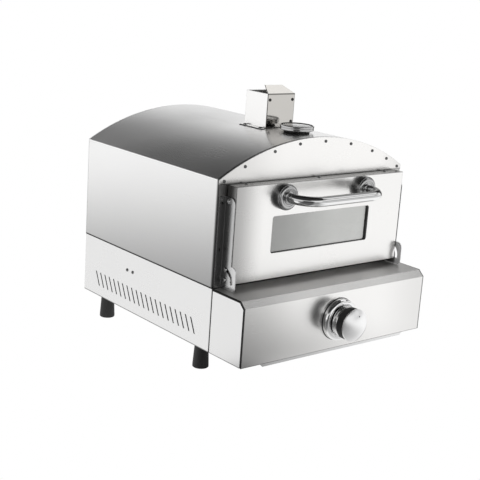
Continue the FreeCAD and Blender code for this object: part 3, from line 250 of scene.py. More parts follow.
def brushed(name, colour, rough, grain="x", edge=0.001, tones=(), matt=()):
    """Sheet metal with brush lines along an axis, cloudy gloss and softened edges.

    tones paint shade, highlights and reflections into its brightness by place, and matt changes its
    roughness."""
    material, graph = new_material(name)
    where = graph.add("TexCoord").outputs["Object"]
    long, fine = 12, 1500
    stretch = {"x": (long, fine, fine), "y": (fine, long, fine), "z": (fine, fine, long)}[grain]
    lined = graph.add("Mapping", {"Vector": where, "Scale": stretch}).outputs["Vector"]
    streaks = graph.noise(lined, scale=1.0, detail=3.0, rough=0.65)
    clouds = graph.noise(where, scale=9.0, detail=4.0, rough=0.55)
    gloss = graph.math("ADD", graph.mapped(streaks, 0.3, 0.7, rough - 0.006, rough + 0.006),
                       graph.mapped(clouds, 0.35, 0.65, -0.02, 0.02))
    gloss = graph.toned(where, gloss, matt)
    shade = graph.math("MULTIPLY", graph.mapped(streaks, 0.3, 0.7, 0.997, 1.0),
                       graph.mapped(clouds, 0.35, 0.65, 0.985, 1.0))
    shade = graph.toned(where, shade, tones)
    normal = graph.relief(streaks, strength=0.001, depth=0.0001, edge=edge)
    finish_material(graph, {"Base Color": graph.tinted(colour, shade), "Metallic": 1.0,
                            "Roughness": gloss, "Normal": normal})
    return material


def polished(name, colour, rough, edge=0.0004, smudge=0.03, tones=()):
    """Polished metal with faint swirls and smudges; its tones paint shade and highlights into its
    brightness by place.
    """
    material, graph = new_material(name)
    where = graph.add("TexCoord").outputs["Object"]
    smudges = graph.noise(where, scale=45.0, detail=5.0)
    fine = graph.noise(where, scale=900.0, detail=2.0, rough=0.5)
    shade = graph.toned(where, graph.mapped(smudges, 0.3, 0.7, 0.97, 1.0), tones)
    normal = graph.relief(fine, strength=0.004, depth=0.0001, edge=edge)
    finish_material(graph, {"Base Color": graph.tinted(colour, shade), "Metallic": 1.0,
                            "Roughness": graph.mapped(smudges, 0.35, 0.7, rough, rough + smudge),
                            "Normal": normal})
    return material


def mottled(name, dark, light, rough, scale, strength=0.1, speck=None):
    """A matt material with a fine grain in colour, gloss and relief, and specks if asked."""
    material, graph = new_material(name)
    where = graph.add("TexCoord").outputs["Object"]
    grain = graph.noise(where, scale, detail=6.0, rough=0.7)
    broad = graph.noise(where, scale / 14, detail=3.0, rough=0.5)
    blend = graph.math("MULTIPLY_ADD", grain, 0.7, graph.math("MULTIPLY", broad, 0.3))
    colour = graph.mix(graph.mapped(blend, 0.35, 0.65), dark, light)
    if speck:
        cells = graph.add("TexVoronoi", {"Vector": where, "Scale": scale * 0.5}).outputs["Distance"]
        colour = graph.mix(graph.mapped(cells, 0.12, 0.2), speck, colour)
    normal = graph.relief(grain, strength, depth=0.0002, edge=0.0004)
    finish_material(graph, {"Base Color": colour,
                            "Roughness": graph.mapped(blend, 0.3, 0.7, rough - 0.06, rough + 0.06),
                            "Normal": normal})
    return material


def glass(name, tint, metallic, rough, tones=()):
    """Glass with a faint dust film and, for metallic above 0, a half-mirror coat; its tones paint
    reflected shade into it by place.
    """
    material, graph = new_material(name)
    where = graph.add("TexCoord").outputs["Object"]
    film = graph.noise(where, scale=22.0, detail=5.0)
    shade = graph.toned(where, graph.mapped(film, 0.3, 0.7, 1.0, 0.93), tones)
    finish_material(graph, {"Base Color": graph.tinted(tint, shade),
                            "Roughness": graph.mapped(film, 0.3, 0.7, rough, rough + 0.05),
                            "Metallic": metallic, "Transmission Weight": 1.0, "IOR": 1.5})
    return material


def fibrous(name, dark, light):
    """A blanket of tangled fibres."""
    material, graph = new_material(name)
    where = graph.add("TexCoord").outputs["Object"]
    stretch = (60, 400, 120)
    drawn = graph.add("Mapping", {"Vector": where, "Scale": stretch}).outputs["Vector"]
    fibres = graph.noise(drawn, scale=2.0, detail=8.0, rough=0.75, Distortion=1.2)
    colour = graph.mix(graph.mapped(fibres, 0.3, 0.7), dark, light)
    bump = graph.add("Bump", {"Strength": 0.8, "Distance": 0.001, "Height": fibres})
    finish_material(graph, {"Base Color": colour, "Roughness": 0.95,
                            "Normal": bump.outputs["Normal"]})
    return material


# ---- materials -----------------------------------------------------------------------------

# Slanted ways in which some ramps of painted shade run.
TOWARDS_REAR_TOP, TOWARDS_REAR_CROWN = Vector((0, 0.184, 1)), Vector((0, 0.25, 1))
ACROSS_FLUE, TOWARDS_LOW_RIGHT = Vector((1, 0.6, 0)), Vector((1, 0, -1))


def ramp(way, place, start, end, at_start, at_end):
    """A tone for Graph.toned between two distances past a place, given in millimetres."""
    return way, place + start / 1000, place + end / 1000, at_start, at_end


# Painted shade: dark lines along the base's front edge and its foot.
BASE_EDGE_SHADE = (ramp(Y_AXIS, BASE_FRONT, 0.25, 2.45, 0.1, 1.0),
                ramp(Z_AXIS, BASE_FOOT, 0.4, 2.2, 0.2, 1.0))
# Painted shade along the chimney front's side edges and in its top fold, and a painted highlight on
# the flap above the fold.
FLUE_EDGE_SHADE_AND_GLINT = (ramp(ACROSS_FLUE, -PLATE_EDGE, -21.3, -20.3, 0.25, 1.0),
              ramp(X_AXIS, PLATE_EDGE, -1.2, -0.4, 1.0, 0.4),
              ramp(Z_AXIS, FLUE_TOP, -2.2, -1.0, 1.0, 0.3),
              ramp(Z_AXIS, FLUE_TOP, 0.2, 0.8, 1.0, 4.6))
materials = {
    # Sheet steel. The narrow ramps are painted shade along rims, seams and folds, with painted
    # highlights on some bends, and the wide ones are painted soft reflections and shade.
    # Painted shade: the sides darker towards the bottom front, the crown darker towards the back
    # and dark lines at the front edge and the foot; a painted highlight along the shoulder's bend.
    "shell": brushed("steel_shell", grey(0.9, 0.002), 0.25, "y", edge=0.0014, tones=(
        ramp(TOWARDS_REAR_TOP, 0, 80, 360, 0.35, 1.0),
        ramp(Y_AXIS, SHELL_FRONT, 1.3, 6.3, 0.08, 1.0),
        ramp(Z_AXIS, SHELL_FOOT, 0.25, 1.75, 0.3, 1.0),
        ramp(Z_AXIS, SHOULDER, -2.0, -1.0, 1.0, 1.11),
        ramp(Z_AXIS, SHOULDER, 0.3, 1.3, 1.0, 0.9),
        ramp(TOWARDS_REAR_CROWN, 0, 366, 410, 1.0, 0.8))),
    # Painted shade: darker towards both sides, and a painted shadow along the bottom edge above the
    # door.
    "facia": brushed("steel_facia", grey(0.95, 0.01), 0.26, "x", tones=(
        ramp(X_AXIS, HALF_WIDTH, -60, 0, 1.0, 0.86),
        ramp(X_AXIS, -HALF_WIDTH, 0, 140, 0.76, 1.0),
        ramp(Z_AXIS, DOOR_TOP, 0.1, 3.5, 0.35, 1.0))),
    # Painted shade: darker towards the left, and dark lines down both side edges and along the top
    # edge.
    "door": brushed("steel_door", grey(0.93, 0.008), 0.26, "x", edge=0.0014, tones=(
        ramp(X_AXIS, -DOOR_EDGE, 0, 63.75, 0.48, 1.0),
        ramp(X_AXIS, -DOOR_EDGE, -0.45, 0.55, 0.14, 1.0),
        ramp(X_AXIS, DOOR_EDGE, -1.55, -0.55, 1.0, 0.2),
        ramp(Z_AXIS, DOOR_TOP, -1.3, -0.3, 1.0, 0.4))),
    # Painted shade: the chamfer darker, darker towards both sides and dark lines at the foot and
    # both side edges; a painted highlight along the top edge.
    "control": brushed(
        "steel_control", grey(0.93, 0.008), 0.25, "x", edge=0.0014,
        tones=(ramp(Z_AXIS, CHAMFER_FOOT, -0.6, 0.4, 1.0, 0.72),
               ramp(Z_AXIS, CONTROL_TOP, -1.2, -0.4, 1.0, 1.2),
               ramp(Z_AXIS, BASE_FOOT, 0.3, 1.3, 0.4, 1.0),
               ramp(X_AXIS, HALF_WIDTH, -120, 0, 1.0, 0.87),
               ramp(X_AXIS, -HALF_WIDTH, 0, 120, 0.8, 1.0),
               ramp(X_AXIS, -HALF_WIDTH, 0.9, 2.1, 0.06, 1.0),
               ramp(X_AXIS, HALF_WIDTH, -2.8, -1.0, 1.0, 0.15)),
        matt=(ramp(Z_AXIS, CONTROL_TOP, -1.2, -0.4, 1.0, 2.0),)),
    # Painted shade: dark inside the louvre slots and behind the outer face, and dark lines along
    # the front edge and the foot.
    "base_left": brushed("steel_base_left", grey(0.8, 0.002), 0.28, "y", tones=(
        ramp(X_AXIS, -HALF_WIDTH, 0.06, 0.2, 1.0, 0.06), *BASE_EDGE_SHADE)),
    # Painted shade: dark inside the louvre slots and behind the outer face, and dark lines along
    # the front edge and the foot.
    "base_right": brushed("steel_base_right", grey(0.8, 0.002), 0.28, "y", tones=(
        ramp(X_AXIS, HALF_WIDTH, -0.2, -0.06, 0.06, 1.0), *BASE_EDGE_SHADE)),
    # Painted shade: a dark line along the foot.
    "side": brushed("steel_side", grey(0.79, 0.002), 0.28, "y", tones=(
        ramp(Z_AXIS, BASE_FOOT, 0.4, 2.0, 0.3, 1.0),)),
    "plain": brushed("steel_plain", grey(0.85), 0.28),
    # Painted shade: darker towards the bottom, and darker still below the shell's foot.
    "rear": brushed("steel_rear", grey(0.66), 0.3, tones=(
        ramp(Z_AXIS, BASE_FOOT, -3, 317, 0.62, 1.0),
        ramp(Z_AXIS, SHELL_FOOT, 0.85, 1.85, 0.8, 1.0))),
    # Painted shade under the oven: dark from about 11 mm behind the control box's front.
    "pan": brushed("steel_pan", grey(0.8), 0.28, tones=(
        ramp(Y_AXIS, CONTROL_FRONT, 4, 11, 1.0, 0.3),)),
    # Painted shade: dark in the gap under the door, up to about 2 mm above the shell's foot, and
    # darker towards the left.
    "frame": brushed("steel_frame", grey(0.55, 0.01), 0.36, tones=(
        ramp(Z_AXIS, SHELL_FOOT, 2.05, 4.05, 0.15, 1.0),
        ramp(X_AXIS, -HALF_WIDTH, 0, 16, 0.55, 1.0))),
    "inner": brushed("steel_inner", grey(0.55, 0.01), 0.36, "y"),
    # Painted shade: darker towards the back.
    "bracket_left": brushed("steel_bracket_left", grey(0.66), 0.22, "z", tones=(
        ramp(Y_AXIS, BRACKET_FRONT, 2, 32, 1.0, 0.6),)),
    # Painted shade: darker from about 15 mm behind the bracket's front.
    "bracket_right": brushed("steel_bracket_right", grey(0.96), 0.3, "z", edge=0.0002,
                             tones=(ramp(Y_AXIS, BRACKET_FRONT, 12, 18, 1.0, 0.6),),
                             matt=(ramp(Y_AXIS, BRACKET_FRONT, 12, 14, 2.8, 1.0),)),
    "chimney": brushed("steel_chimney", grey(0.96, 0.006), 0.22, "z"),

    # Polished metal.
    # Painted shade along the chimney front's edges and fold, and a painted highlight above the
    # fold.
    "mirror": polished("steel_polished", grey(0.57, 0.03), 0.07, tones=FLUE_EDGE_SHADE_AND_GLINT),
    "case": polished("steel_case", grey(0.52), 0.05),
    "chrome": polished("chrome", grey(0.9), 0.025),
    "satin": polished("satin_steel", grey(0.94), 0.3),
    "fastener": polished("fastener_steel", grey(0.2), 0.22, edge=0.0001),
    # Painted shade: the screws darkened from about 4 mm in front of the shell's front backwards.
    "cheek_screw": polished("cheek_screw", grey(0.9), 0.25, edge=0.0001, tones=(
        ramp(Y_AXIS, SHELL_FRONT, -5.4, -3.7, 1.0, 0.1),)),
    "dark_screw": polished("dark_screw", grey(0.06), 0.3, edge=0.0001),
    "pin": polished("pin_steel", grey(0.4), 0.14),
    # Painted shade: the rosettes' sides darker than their front faces.
    "rosette": polished("dark_satin", grey(0.5), 0.2, edge=0.0002, tones=(
        ramp(Y_AXIS, DOOR_FACE, -11.3, -9.5, 1.0, 0.45),)),
    # Painted reflection: dark lines along the bar's top and bottom and a grey band just above its
    # middle.
    "bar": polished("chrome_bar", grey(0.9), 0.03, tones=(
        ramp(Z_AXIS, BAR_HEIGHT, -7.4, -5.8, 0.3, 1.0),
        ramp(Z_AXIS, BAR_HEIGHT, -0.8, -0.2, 1.0, 0.6),
        ramp(Z_AXIS, BAR_HEIGHT, 1.6, 2.6, 1.0, 1.5),
        ramp(Z_AXIS, BAR_HEIGHT, 5.4, 7.0, 1.0, 0.25))),
    # Painted shade: the dome darker round its lower right edge.
    "dome": polished("satin_dome", grey(0.97), 0.32, smudge=0.01, tones=(
        ramp(TOWARDS_LOW_RIGHT, -KNOB_HEIGHT, 27.1, 29.1, 1.0, 0.6),)),
    "brass": brushed("brass", (0.78, 0.57, 0.25, 1), 0.25, "y"),
    "aluminium": brushed("aluminium_tube", grey(0.82), 0.32, "y"),

    # Rubber, plastic, ceramics and glass.
    "rubber": mottled("black_rubber", grey(0.008), grey(0.026), 0.62, 500, strength=0.25),
    "seal": mottled("window_seal", grey(0.13), grey(0.19), 0.5, 500),
    "lead": mottled("lead_rubber", (0.2, 0.02, 0.015, 1), (0.33, 0.04, 0.03, 1), 0.5, 600),
    "grip": mottled("black_plastic", grey(0.008), grey(0.022), 0.42, 1500, strength=0.12),
    "wool": fibrous("ceramic_wool", (0.66, 0.64, 0.58, 1), (0.9, 0.89, 0.86, 1)),
    "stone": mottled("stone", (0.5, 0.4, 0.27, 1), (0.74, 0.64, 0.48, 1), 0.85, 260,
                     strength=0.35, speck=(0.33, 0.25, 0.17, 1)),
    "ceramic": mottled("ceramic_white", (0.78, 0.76, 0.7, 1), (0.88, 0.87, 0.82, 1), 0.25, 300,
                       strength=0.03),
    "dial": mottled("dial_white", (0.8, 0.8, 0.77, 1), (0.88, 0.88, 0.86, 1), 0.45, 700,
                    strength=0.03),
    "ink": mottled("dial_ink", grey(0.01), grey(0.02), 0.5, 900, strength=0.03),
    "pointer": mottled("pointer_red", (0.42, 0.02, 0.015, 1), (0.55, 0.04, 0.03, 1), 0.35, 500,
                       strength=0.03),
    "lens": glass("clear_glass", (0.97, 0.99, 0.98, 1), 0.0, 0.01),
    # Painted reflection: the glass darker towards the left and slightly brighter towards the right.
    "window": glass("window_glass", (0.70, 0.705, 0.69, 1), 0.62, 0.05,
                    tones=(ramp(X_AXIS, 0, -120, 50, 0.66, 1.1),)),
}

LOOK = {
    "outer_shell": "shell", "facia": "facia", "front_frame": "frame", "rear_panel": "rear",
    "liner": "inner", "insulation": "wool", "base_side_left": "base_left",
    "base_side_right": "base_right", "base_rear": "rear", "bottom_pan": "pan",
    "control_cover": "control", "control_side_left": "side", "control_side_right": "side",
    "door_shell": "door", "door_inner": "inner", "glass_clamp": "inner",
    "window_gasket": "seal", "window_glass": "window", "handle_bar": "bar",
    "handle_rosette_left": "rosette", "handle_rosette_right": "rosette",
    "hinge_bracket_left": "bracket_left", "hinge_bracket_right": "bracket_right",
    "pivot_pins": "pin", "guide_pins": "pin", "chimney": "chimney", "chimney_front": "mirror",
    "flue_duct": "inner", "pizza_stone": "stone", "stone_rails": "inner", "burner": "inner",
    "mixer_tube": "plain", "gas_valve": "brass", "gas_inlet": "brass", "gas_pipe": "aluminium",
    "spark_electrode": "ceramic", "ignition_lead": "lead", "valve_stem": "satin",
    "valve_plug": "brass", "knob_spring": "plain", "knob_bezel": "chrome",
    "knob_grip": "grip", "knob_cap": "dome", "thermometer_case": "case",
    "thermometer_nut": "case", "thermometer_dial": "dial", "thermometer_pointer": "pointer",
    "thermometer_lens": "lens", "thermometer_probe": "satin", "panel_screws": "fastener",
    "side_screws": "fastener", "door_screws": "fastener", "bracket_screws": "cheek_screw",
    "chimney_screws": "dark_screw", "foot_bolts": "fastener", "handle_bolts": "fastener",
    "foot_front_left": "rubber", "foot_front_right": "rubber", "foot_rear_left": "rubber",
    "foot_rear_right": "rubber",
}


def paint(thing, look):
    thing.data.materials.clear()
    thing.data.materials.append(materials[look])


def paint_nodes():
    for name, thing in nodes.items():
        paint(thing, LOOK[name])


# ---- mesh making ---------------------------------------------------------------------------

def make_piece(name, verts, faces, look, body, replaced=()):
    """A mesh object with outward normals, smooth faces and sharp folds, riding on a body."""
    sharp_from = math.radians(32)
    mesh = bpy.data.meshes.new(name)
    mesh.from_pydata([tuple(v) for v in verts], [], faces)
    work = bmesh.new()
    work.from_mesh(mesh)
    bmesh.ops.recalc_face_normals(work, faces=work.faces)
    for face in work.faces:
        face.smooth = True
    work.to_mesh(mesh)
    work.free()
    mesh.set_sharp_from_angle(angle=sharp_from)
    thing = add_object(name, mesh)
    paint(thing, look)
    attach(thing, body)
    if replaced:
        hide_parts(*replaced)


class Solid:
    """Vertices and faces gathered from several closed shapes."""

    def __init__(self):
        self.verts, self.faces = [], []

    def ring(self, centre, across, up, points):
        """Adds vertices at (a, b) points in the plane through centre; gives their numbers."""
        first = len(self.verts)
        self.verts += [centre + across * a + up * b for a, b in points]
        return list(range(first, len(self.verts)))

    def bridge(self, lower, upper):
        """Faces between two rings of as many points."""
        count = len(lower)
        for i in range(count):
            j = (i + 1) % count
            self.faces.append((lower[i], lower[j], upper[j], upper[i]))

    def fan(self, ring, centre):
        """Faces from a ring to a new point in its middle."""
        tip = len(self.verts)
        self.verts.append(centre)
        for i in range(len(ring)):
            self.faces.append((ring[i], ring[(i + 1) % len(ring)], tip))

    def lathe(self, foot, outward, profile, segments, ripple=None):
        """Turns (radius, height) points about outward. A first and last radius of 0 closes it;
        otherwise the profile is a closed loop. ripple gives a radius factor by angle."""
        across, up = plane_of(outward)
        rings = []
        for radius, height in profile:
            if radius == 0:
                rings.append(None)
                continue
            points = []
            for i in range(segments):
                angle = 2 * math.pi * i / segments
                reach = radius * (ripple(angle, radius) if ripple else 1)
                points.append((reach * math.cos(angle), reach * math.sin(angle)))
            rings.append(self.ring(foot + outward * height, across, up, points))
        if rings[0] is None:
            self.fan(rings[1], foot + outward * profile[0][1])
            self.fan(rings[-2], foot + outward * profile[-1][1])
            rings = rings[1:-1]
        else:
            rings.append(rings[0])
        for lower, upper in zip(rings, rings[1:]):
            self.bridge(lower, upper)

    def piece(self, name, look, body, replaced=()):
        make_piece(name, self.verts, self.faces, look, body, replaced)


def plane_of(outward):
    """Two unit vectors across a direction."""
    seed = Z_AXIS if abs(outward.z) < 0.9 else X_AXIS
    across = seed.cross(outward).normalized()
    return across, outward.cross(across)


# ---- screws --------------------------------------------------------------------------------

def islands(node):
    """The vertex places of each separate solid in a node."""
    work = bmesh.new()
    work.from_mesh(nodes[node].data)
    bmesh.ops.remove_doubles(work, verts=work.verts, dist=1e-7)
    left = set(work.verts)
    groups = []
    for start in work.verts:
        if start not in left:
            continue
        left.discard(start)
        stack, found = [start], []
        while stack:
            vert = stack.pop()
            found.append(vert.co.copy())
            for edge in vert.link_edges:
                other = edge.other_vert(vert)
                if other in left:
                    left.discard(other)
                    stack.append(other)
        groups.append(found)
    work.free()
    return groups


def outward_of(node, centre):
    """The way a screw's head faces."""
    sideways = X_AXIS * math.copysign(1, centre.x)
    if node == "side_screws":
        return sideways
    if node == "panel_screws":
        return Y_AXIS * math.copysign(1, centre.y)
    if node == "door_screws":
        in_top_edge = centre.z > DOOR_MIDDLE
        return Z_AXIS if in_top_edge else -Z_AXIS
    if node == "bracket_screws":
        through_cheek = abs(centre.x) < 0.189
        return sideways if through_cheek else -Y_AXIS
    in_front_plate = centre.y < -0.03
    return -Y_AXIS if in_front_plate else roof_normal(centre.x)


def add_screw(solid, tip, outward, radius, turn):
    """A pan-head screw with a cross recess; tip is the middle of the head's top."""
    height, shank, depth = radius * 0.5, radius * 0.5, radius * 0.34
    sides = 24
    step = 2 * math.pi / sides
    reach = radius * 0.58
    half = reach * math.tan(step)
    across, up = plane_of(outward)
    across, up = (across * math.cos(turn) + up * math.sin(turn),
                  up * math.cos(turn) - across * math.sin(turn))

    def circle(size, drop):
        points = [(size * math.cos(step * i), size * math.sin(step * i)) for i in range(sides)]
        return solid.ring(tip - outward * drop, across, up, points)

    def cross(size, drop):
        corners = [(reach, -half), (reach, half), (half, half)]
        points = []
        for c, s in ((1, 0), (0, 1), (-1, 0), (0, -1)):
            points += [(size * (c * a - s * b), size * (s * a + c * b)) for a, b in corners]
        return solid.ring(tip - outward * drop, across, up, points)

    end = circle(shank, height + radius)
    rings = [end, circle(shank, height), circle(radius, height), circle(radius, height * 0.7),
             circle(radius * 0.93, height * 0.3), circle(radius * 0.78, 0)]
    solid.fan(end, tip - outward * (height + radius))
    for lower, upper in zip(rings, rings[1:]):
        solid.bridge(lower, upper)
    top, rim, floor = rings[-1], cross(1, 0), cross(0.8, depth)
    for j, corner in enumerate(rim):
        before, at, after = top[2 * j - 2], top[2 * j - 1], top[2 * j]
        solid.faces += [(corner, before, at), (corner, at, after),
                        (corner, after, rim[(j + 1) % len(rim)])]
    solid.bridge(rim, floor)
    solid.fan(floor, tip - outward * depth)


def add_washer(solid, tip, outward, radius):
    """A sealing washer round the foot of a screw's head."""
    foot = tip - outward * radius * 0.5
    bore, rim, top, under = radius * 0.55, radius * 1.42, 0.0007, -0.0002
    solid.lathe(foot, outward, [(bore, under), (rim, under), (rim, 0.0004),
                                (radius * 1.3, top), (bore, top)], 32)


def make_screws():
    """Cross-head screws in the places of the plain CAD ones, each turned by its own angle."""
    tolerance = 2e-5
    washers = Solid()
    for node in ("panel_screws", "side_screws", "door_screws", "bracket_screws",
                 "chimney_screws"):
        solid = Solid()
        for number, points in enumerate(islands(node)):
            centre = middle(points)
            outward = outward_of(node, centre)
            top = max(p.dot(outward) for p in points)
            tip = middle([p for p in points if p.dot(outward) > top - tolerance])
            radius = max(((p - tip) - outward * (p - tip).dot(outward)).length for p in points)
            turn = math.radians(37 * number % 90)
            add_screw(solid, tip, outward, radius, turn)
            if node == "chimney_screws" and outward.z > 0.5:
                add_washer(washers, tip, outward, radius)
        body = nodes[node].parent.name.removeprefix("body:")
        solid.piece(f"{node}_crosshead", LOOK[node], body, (node,))
    washers.piece("flue_foot_washers", "rubber", "oven")


# ---- knob ----------------------------------------------------------------------------------

def make_grip():
    """The grip with ribs round its outer face."""
    ribs, rib_depth, plain_radius = 64, 0.022, 0.0259

    def ripple(angle, radius):
        if radius < plain_radius:
            return 1
        return 1 - rib_depth * (0.5 + 0.5 * math.cos(ribs * angle)) ** 2

    grip = Solid()
    grip.lathe(Vector((0, KNOB_BACK, KNOB_HEIGHT)), -Y_AXIS, [
        (0.0031, 0), (0.0252, 0), (0.0252, 0.0164), (0.0256, 0.0168), (0.0265, 0.0176),
        (0.0265, 0.0302), (0.0257, 0.031), (0.0031, 0.031)], ribs * 6, ripple)
    grip.piece("knob_grip_ribbed", "grip", "knob", ("knob_grip",))


def make_sleeve():
    """A polished sleeve round the grip's rear, with two grooves."""
    bore, face, groove = 0.0252, 0.0258, 0.0254
    profile = [(bore, 0.0025), (0.0256, 0.0025), (face, 0.0029)]
    for place in (0.0078, 0.0122):
        profile += [(face, place - 0.0006), (groove, place - 0.0003),
                    (groove, place + 0.0003), (face, place + 0.0006)]
    profile += [(face, 0.0158), (0.0256, 0.0163), (bore, 0.0163)]
    sleeve = Solid()
    sleeve.lathe(Vector((0, KNOB_BACK, KNOB_HEIGHT)), -Y_AXIS, profile, 96)
    sleeve.piece("knob_sleeve", "chrome", "knob")


def make_bezel_seal():
    """The ring between the bezel and the control box."""
    seal = Solid()
    seal.lathe(Vector((0, CONTROL_FRONT, KNOB_HEIGHT)), -Y_AXIS, [
        (0.0200, 0.0001), (0.0357, 0.0001), (0.0357, 0.0008), (0.0352, 0.0012),
        (0.0200, 0.0012)], 96)
    seal.piece("knob_bezel_seal", "rubber", "oven")


def make_index_dot():
    """A dot set into the knob's domed cap, above its middle."""
    dome_radius = 0.045
    dome_centre = Vector((0, KNOB_FRONT + dome_radius, KNOB_HEIGHT))
    out = Vector((0.0025, -0.0413, 0.0165)).normalized()
    dot = Solid()
    dot.lathe(dome_centre + out * (dome_radius - 0.0002), out,
              [(0, -0.0006), (0.0012, -0.0006), (0.0012, 0.0001), (0.0009, 0.0004),
               (0, 0.0005)], 20)
    dot.piece("knob_index_dot", "ink", "knob")


def ease_spring():
    """Gives the return spring's node a mesh of its own."""
    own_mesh(nodes["knob_spring"])


# ---- handle --------------------------------------------------------------------------------

def make_rosettes():
    """The turned rosettes under the handle's ends, with two grooves in each face."""
    for side, across in (("left", -ROSETTE_ACROSS), ("right", ROSETTE_ACROSS)):
        rosette = Solid()
        rosette.lathe(Vector((across, DOOR_FACE, BAR_HEIGHT)), -Y_AXIS, [
            (0.0081, 0.0001), (0.0210, 0.0001), (0.0210, 0.0085), (0.0207, 0.0093),
            (0.0201, 0.0103), (0.0196, 0.0105), (0.0194, 0.0098), (0.0188, 0.0098),
            (0.0186, 0.0113), (0.0178, 0.0123), (0.0168, 0.0128), (0.0154, 0.0130),
            (0.0141, 0.0130), (0.0139, 0.0120), (0.0132, 0.0120), (0.0130, 0.0130),
            (0.0112, 0.0130), (0.0108, 0.0121), (0.0096, 0.0115), (0.0081, 0.0115)], 96)
        node = f"handle_rosette_{side}"
        rosette.piece(f"{node}_turned", "rosette", "door", (node,))


# ---- thermometer ---------------------------------------------------------------------------

def make_case():
    """The thermometer's polished cup with its rolled rim."""
    case = Solid()
    case.lathe(Vector((*CASE_CENTRE, CASE_FOOT)), Z_AXIS, [
        (0.0052, 0), (0.0262, 0), (0.0274, 0.0004), (0.0281, 0.0012), (0.0283, 0.0022),
        (0.0280, 0.0032), (0.0280, 0.0042), (0.0284, 0.0050), (0.0285, 0.0062), (0.0285, 0.0072),
        (0.0283, 0.0080), (0.0279, 0.0084), (0.0274, 0.0085), (0.0268, 0.0084), (0.0263, 0.0081),
        (0.0261, 0.0076), (0.0260, 0.0070), (0.0260, 0.0020), (0.0052, 0.0020)], 112)
    case.piece("thermometer_bezel", "case", "oven", ("thermometer_case",))


def bearing(fraction):
    """Direction on the dial for a part of the pointer's sweep, clockwise from lower left."""
    start, sweep = 225, 270
    angle = math.radians(start - sweep * fraction)
    return Vector((math.cos(angle), math.sin(angle), 0))


def make_ticks(centre):
    """Long ticks at the numbers, middling ones halfway between them and short ones between."""
    rim, divisions = 0.0232, 50
    ticks = Solid()
    for step in range(divisions + 1):
        way = bearing(step / divisions)
        side = Z_AXIS.cross(way)
        long, wide = ((0.0035, 0.00035) if step % 10 == 0 else
                      (0.0026, 0.0002) if step % 5 == 0 else (0.0015, 0.00012))
        corners = [(rim - long, -wide), (rim, -wide), (rim, wide), (rim - long, wide)]
        lower = ticks.ring(centre - Z_AXIS * 0.0001, way, side, corners)
        upper = ticks.ring(centre + Z_AXIS * 0.00015, way, side, corners)
        ticks.bridge(lower, upper)
        ticks.faces += [tuple(lower), tuple(upper)]
    ticks.piece("dial_ticks", "ink", "oven")


def make_numbers(centre):
    """The scale's numbers from 0 to its end, upright to a person at the door."""
    scale_end, reach = 500, 0.0165
    numbers = bmesh.new()
    for number in range(0, scale_end + 1, 100):
        text = bpy.data.curves.new("number", "FONT")
        text.body = str(number)
        text.size = 0.0042
        text.align_x, text.align_y = "CENTER", "CENTER"
        text.extrude = 0.0001
        text.resolution_u = 3
        thing = add_object("number", text)
        mesh = bpy.data.meshes.new_from_object(thing)
        mesh.transform(Matrix.Translation(centre + bearing(number / scale_end) * reach))
        numbers.from_mesh(mesh)
        bpy.data.objects.remove(thing)
    bmesh.ops.remove_doubles(numbers, verts=numbers.verts, dist=1e-7)
    numbers.verts.index_update()
    verts = [vert.co.copy() for vert in numbers.verts]
    faces = [[vert.index for vert in face.verts] for face in numbers.faces]
    numbers.free()
    make_piece("dial_numbers", verts, faces, "ink", "oven")


def make_scale():
    """The ticks and numbers on the dial's face."""
    centre = Vector((*CASE_CENTRE, DIAL_FACE))
    make_ticks(centre)
    make_numbers(centre)


def make_thermometer_seals():
    """The rubber rings on the lens's rim and between the cup and the roof; the lower ring also
    serves as painted shadow under the cup.
    """
    ring = Solid()
    ring.lathe(Vector((*CASE_CENTRE, CASE_FOOT)), Z_AXIS, [
        (0.0248, 0.0081), (0.0261, 0.0081), (0.0261, 0.0086), (0.0251, 0.0086)], 96)
    ring.piece("thermometer_lens_seal", "rubber", "oven")

    # A dark ring under the cup, a seal that also serves as painted shadow.
    seal = Solid()
    seal.lathe(Vector((*CASE_CENTRE, ROOF_TOP)), Z_AXIS, [
        (0.0092, 0.0002), (0.0215, 0.0002), (0.0219, 0.0008), (0.0217, 0.0020),
        (0.0092, 0.0024)], 64)
    seal.piece("thermometer_seal", "rubber", "oven")


# ---- flue foot and gas inlet ---------------------------------------------------------------

def make_flue_seal():
    """A dark sealing bead that follows the roof round the chimney's foot; it also serves as painted
    shadow along the foot flange's edge.
    """
    front, back, side = lowest("chimney").y, highest("chimney").y, highest("chimney").x
    steps = 14

    def loop(grow, lift):
        """Points round the chimney's outline, grown outwards, at a height above the roof."""
        x, y_front, y_back = side + grow, front - grow, back + grow
        path = [(-x + 2 * x * i / steps, y_front) for i in range(steps)]
        path += [(x, y_front)]
        path += [(x - 2 * x * i / steps, y_back) for i in range(steps)]
        path += [(-x, y_back)]
        return [Vector((px, py, roof(px) + lift)) for px, py in path]

    inside, outside, bevelled = -0.0002, 0.0019, 0.0016
    seal = Solid()
    rings = []
    for grow, lift in ((inside, -0.0003), (outside, -0.0003), (outside, 0.0005),
                       (bevelled, 0.0008), (inside, 0.0008)):
        first = len(seal.verts)
        seal.verts += loop(grow, lift)
        rings.append(list(range(first, len(seal.verts))))
    for lower, upper in zip(rings, rings[1:] + rings[:1]):
        seal.bridge(lower, upper)
    seal.piece("flue_seal", "rubber", "oven")


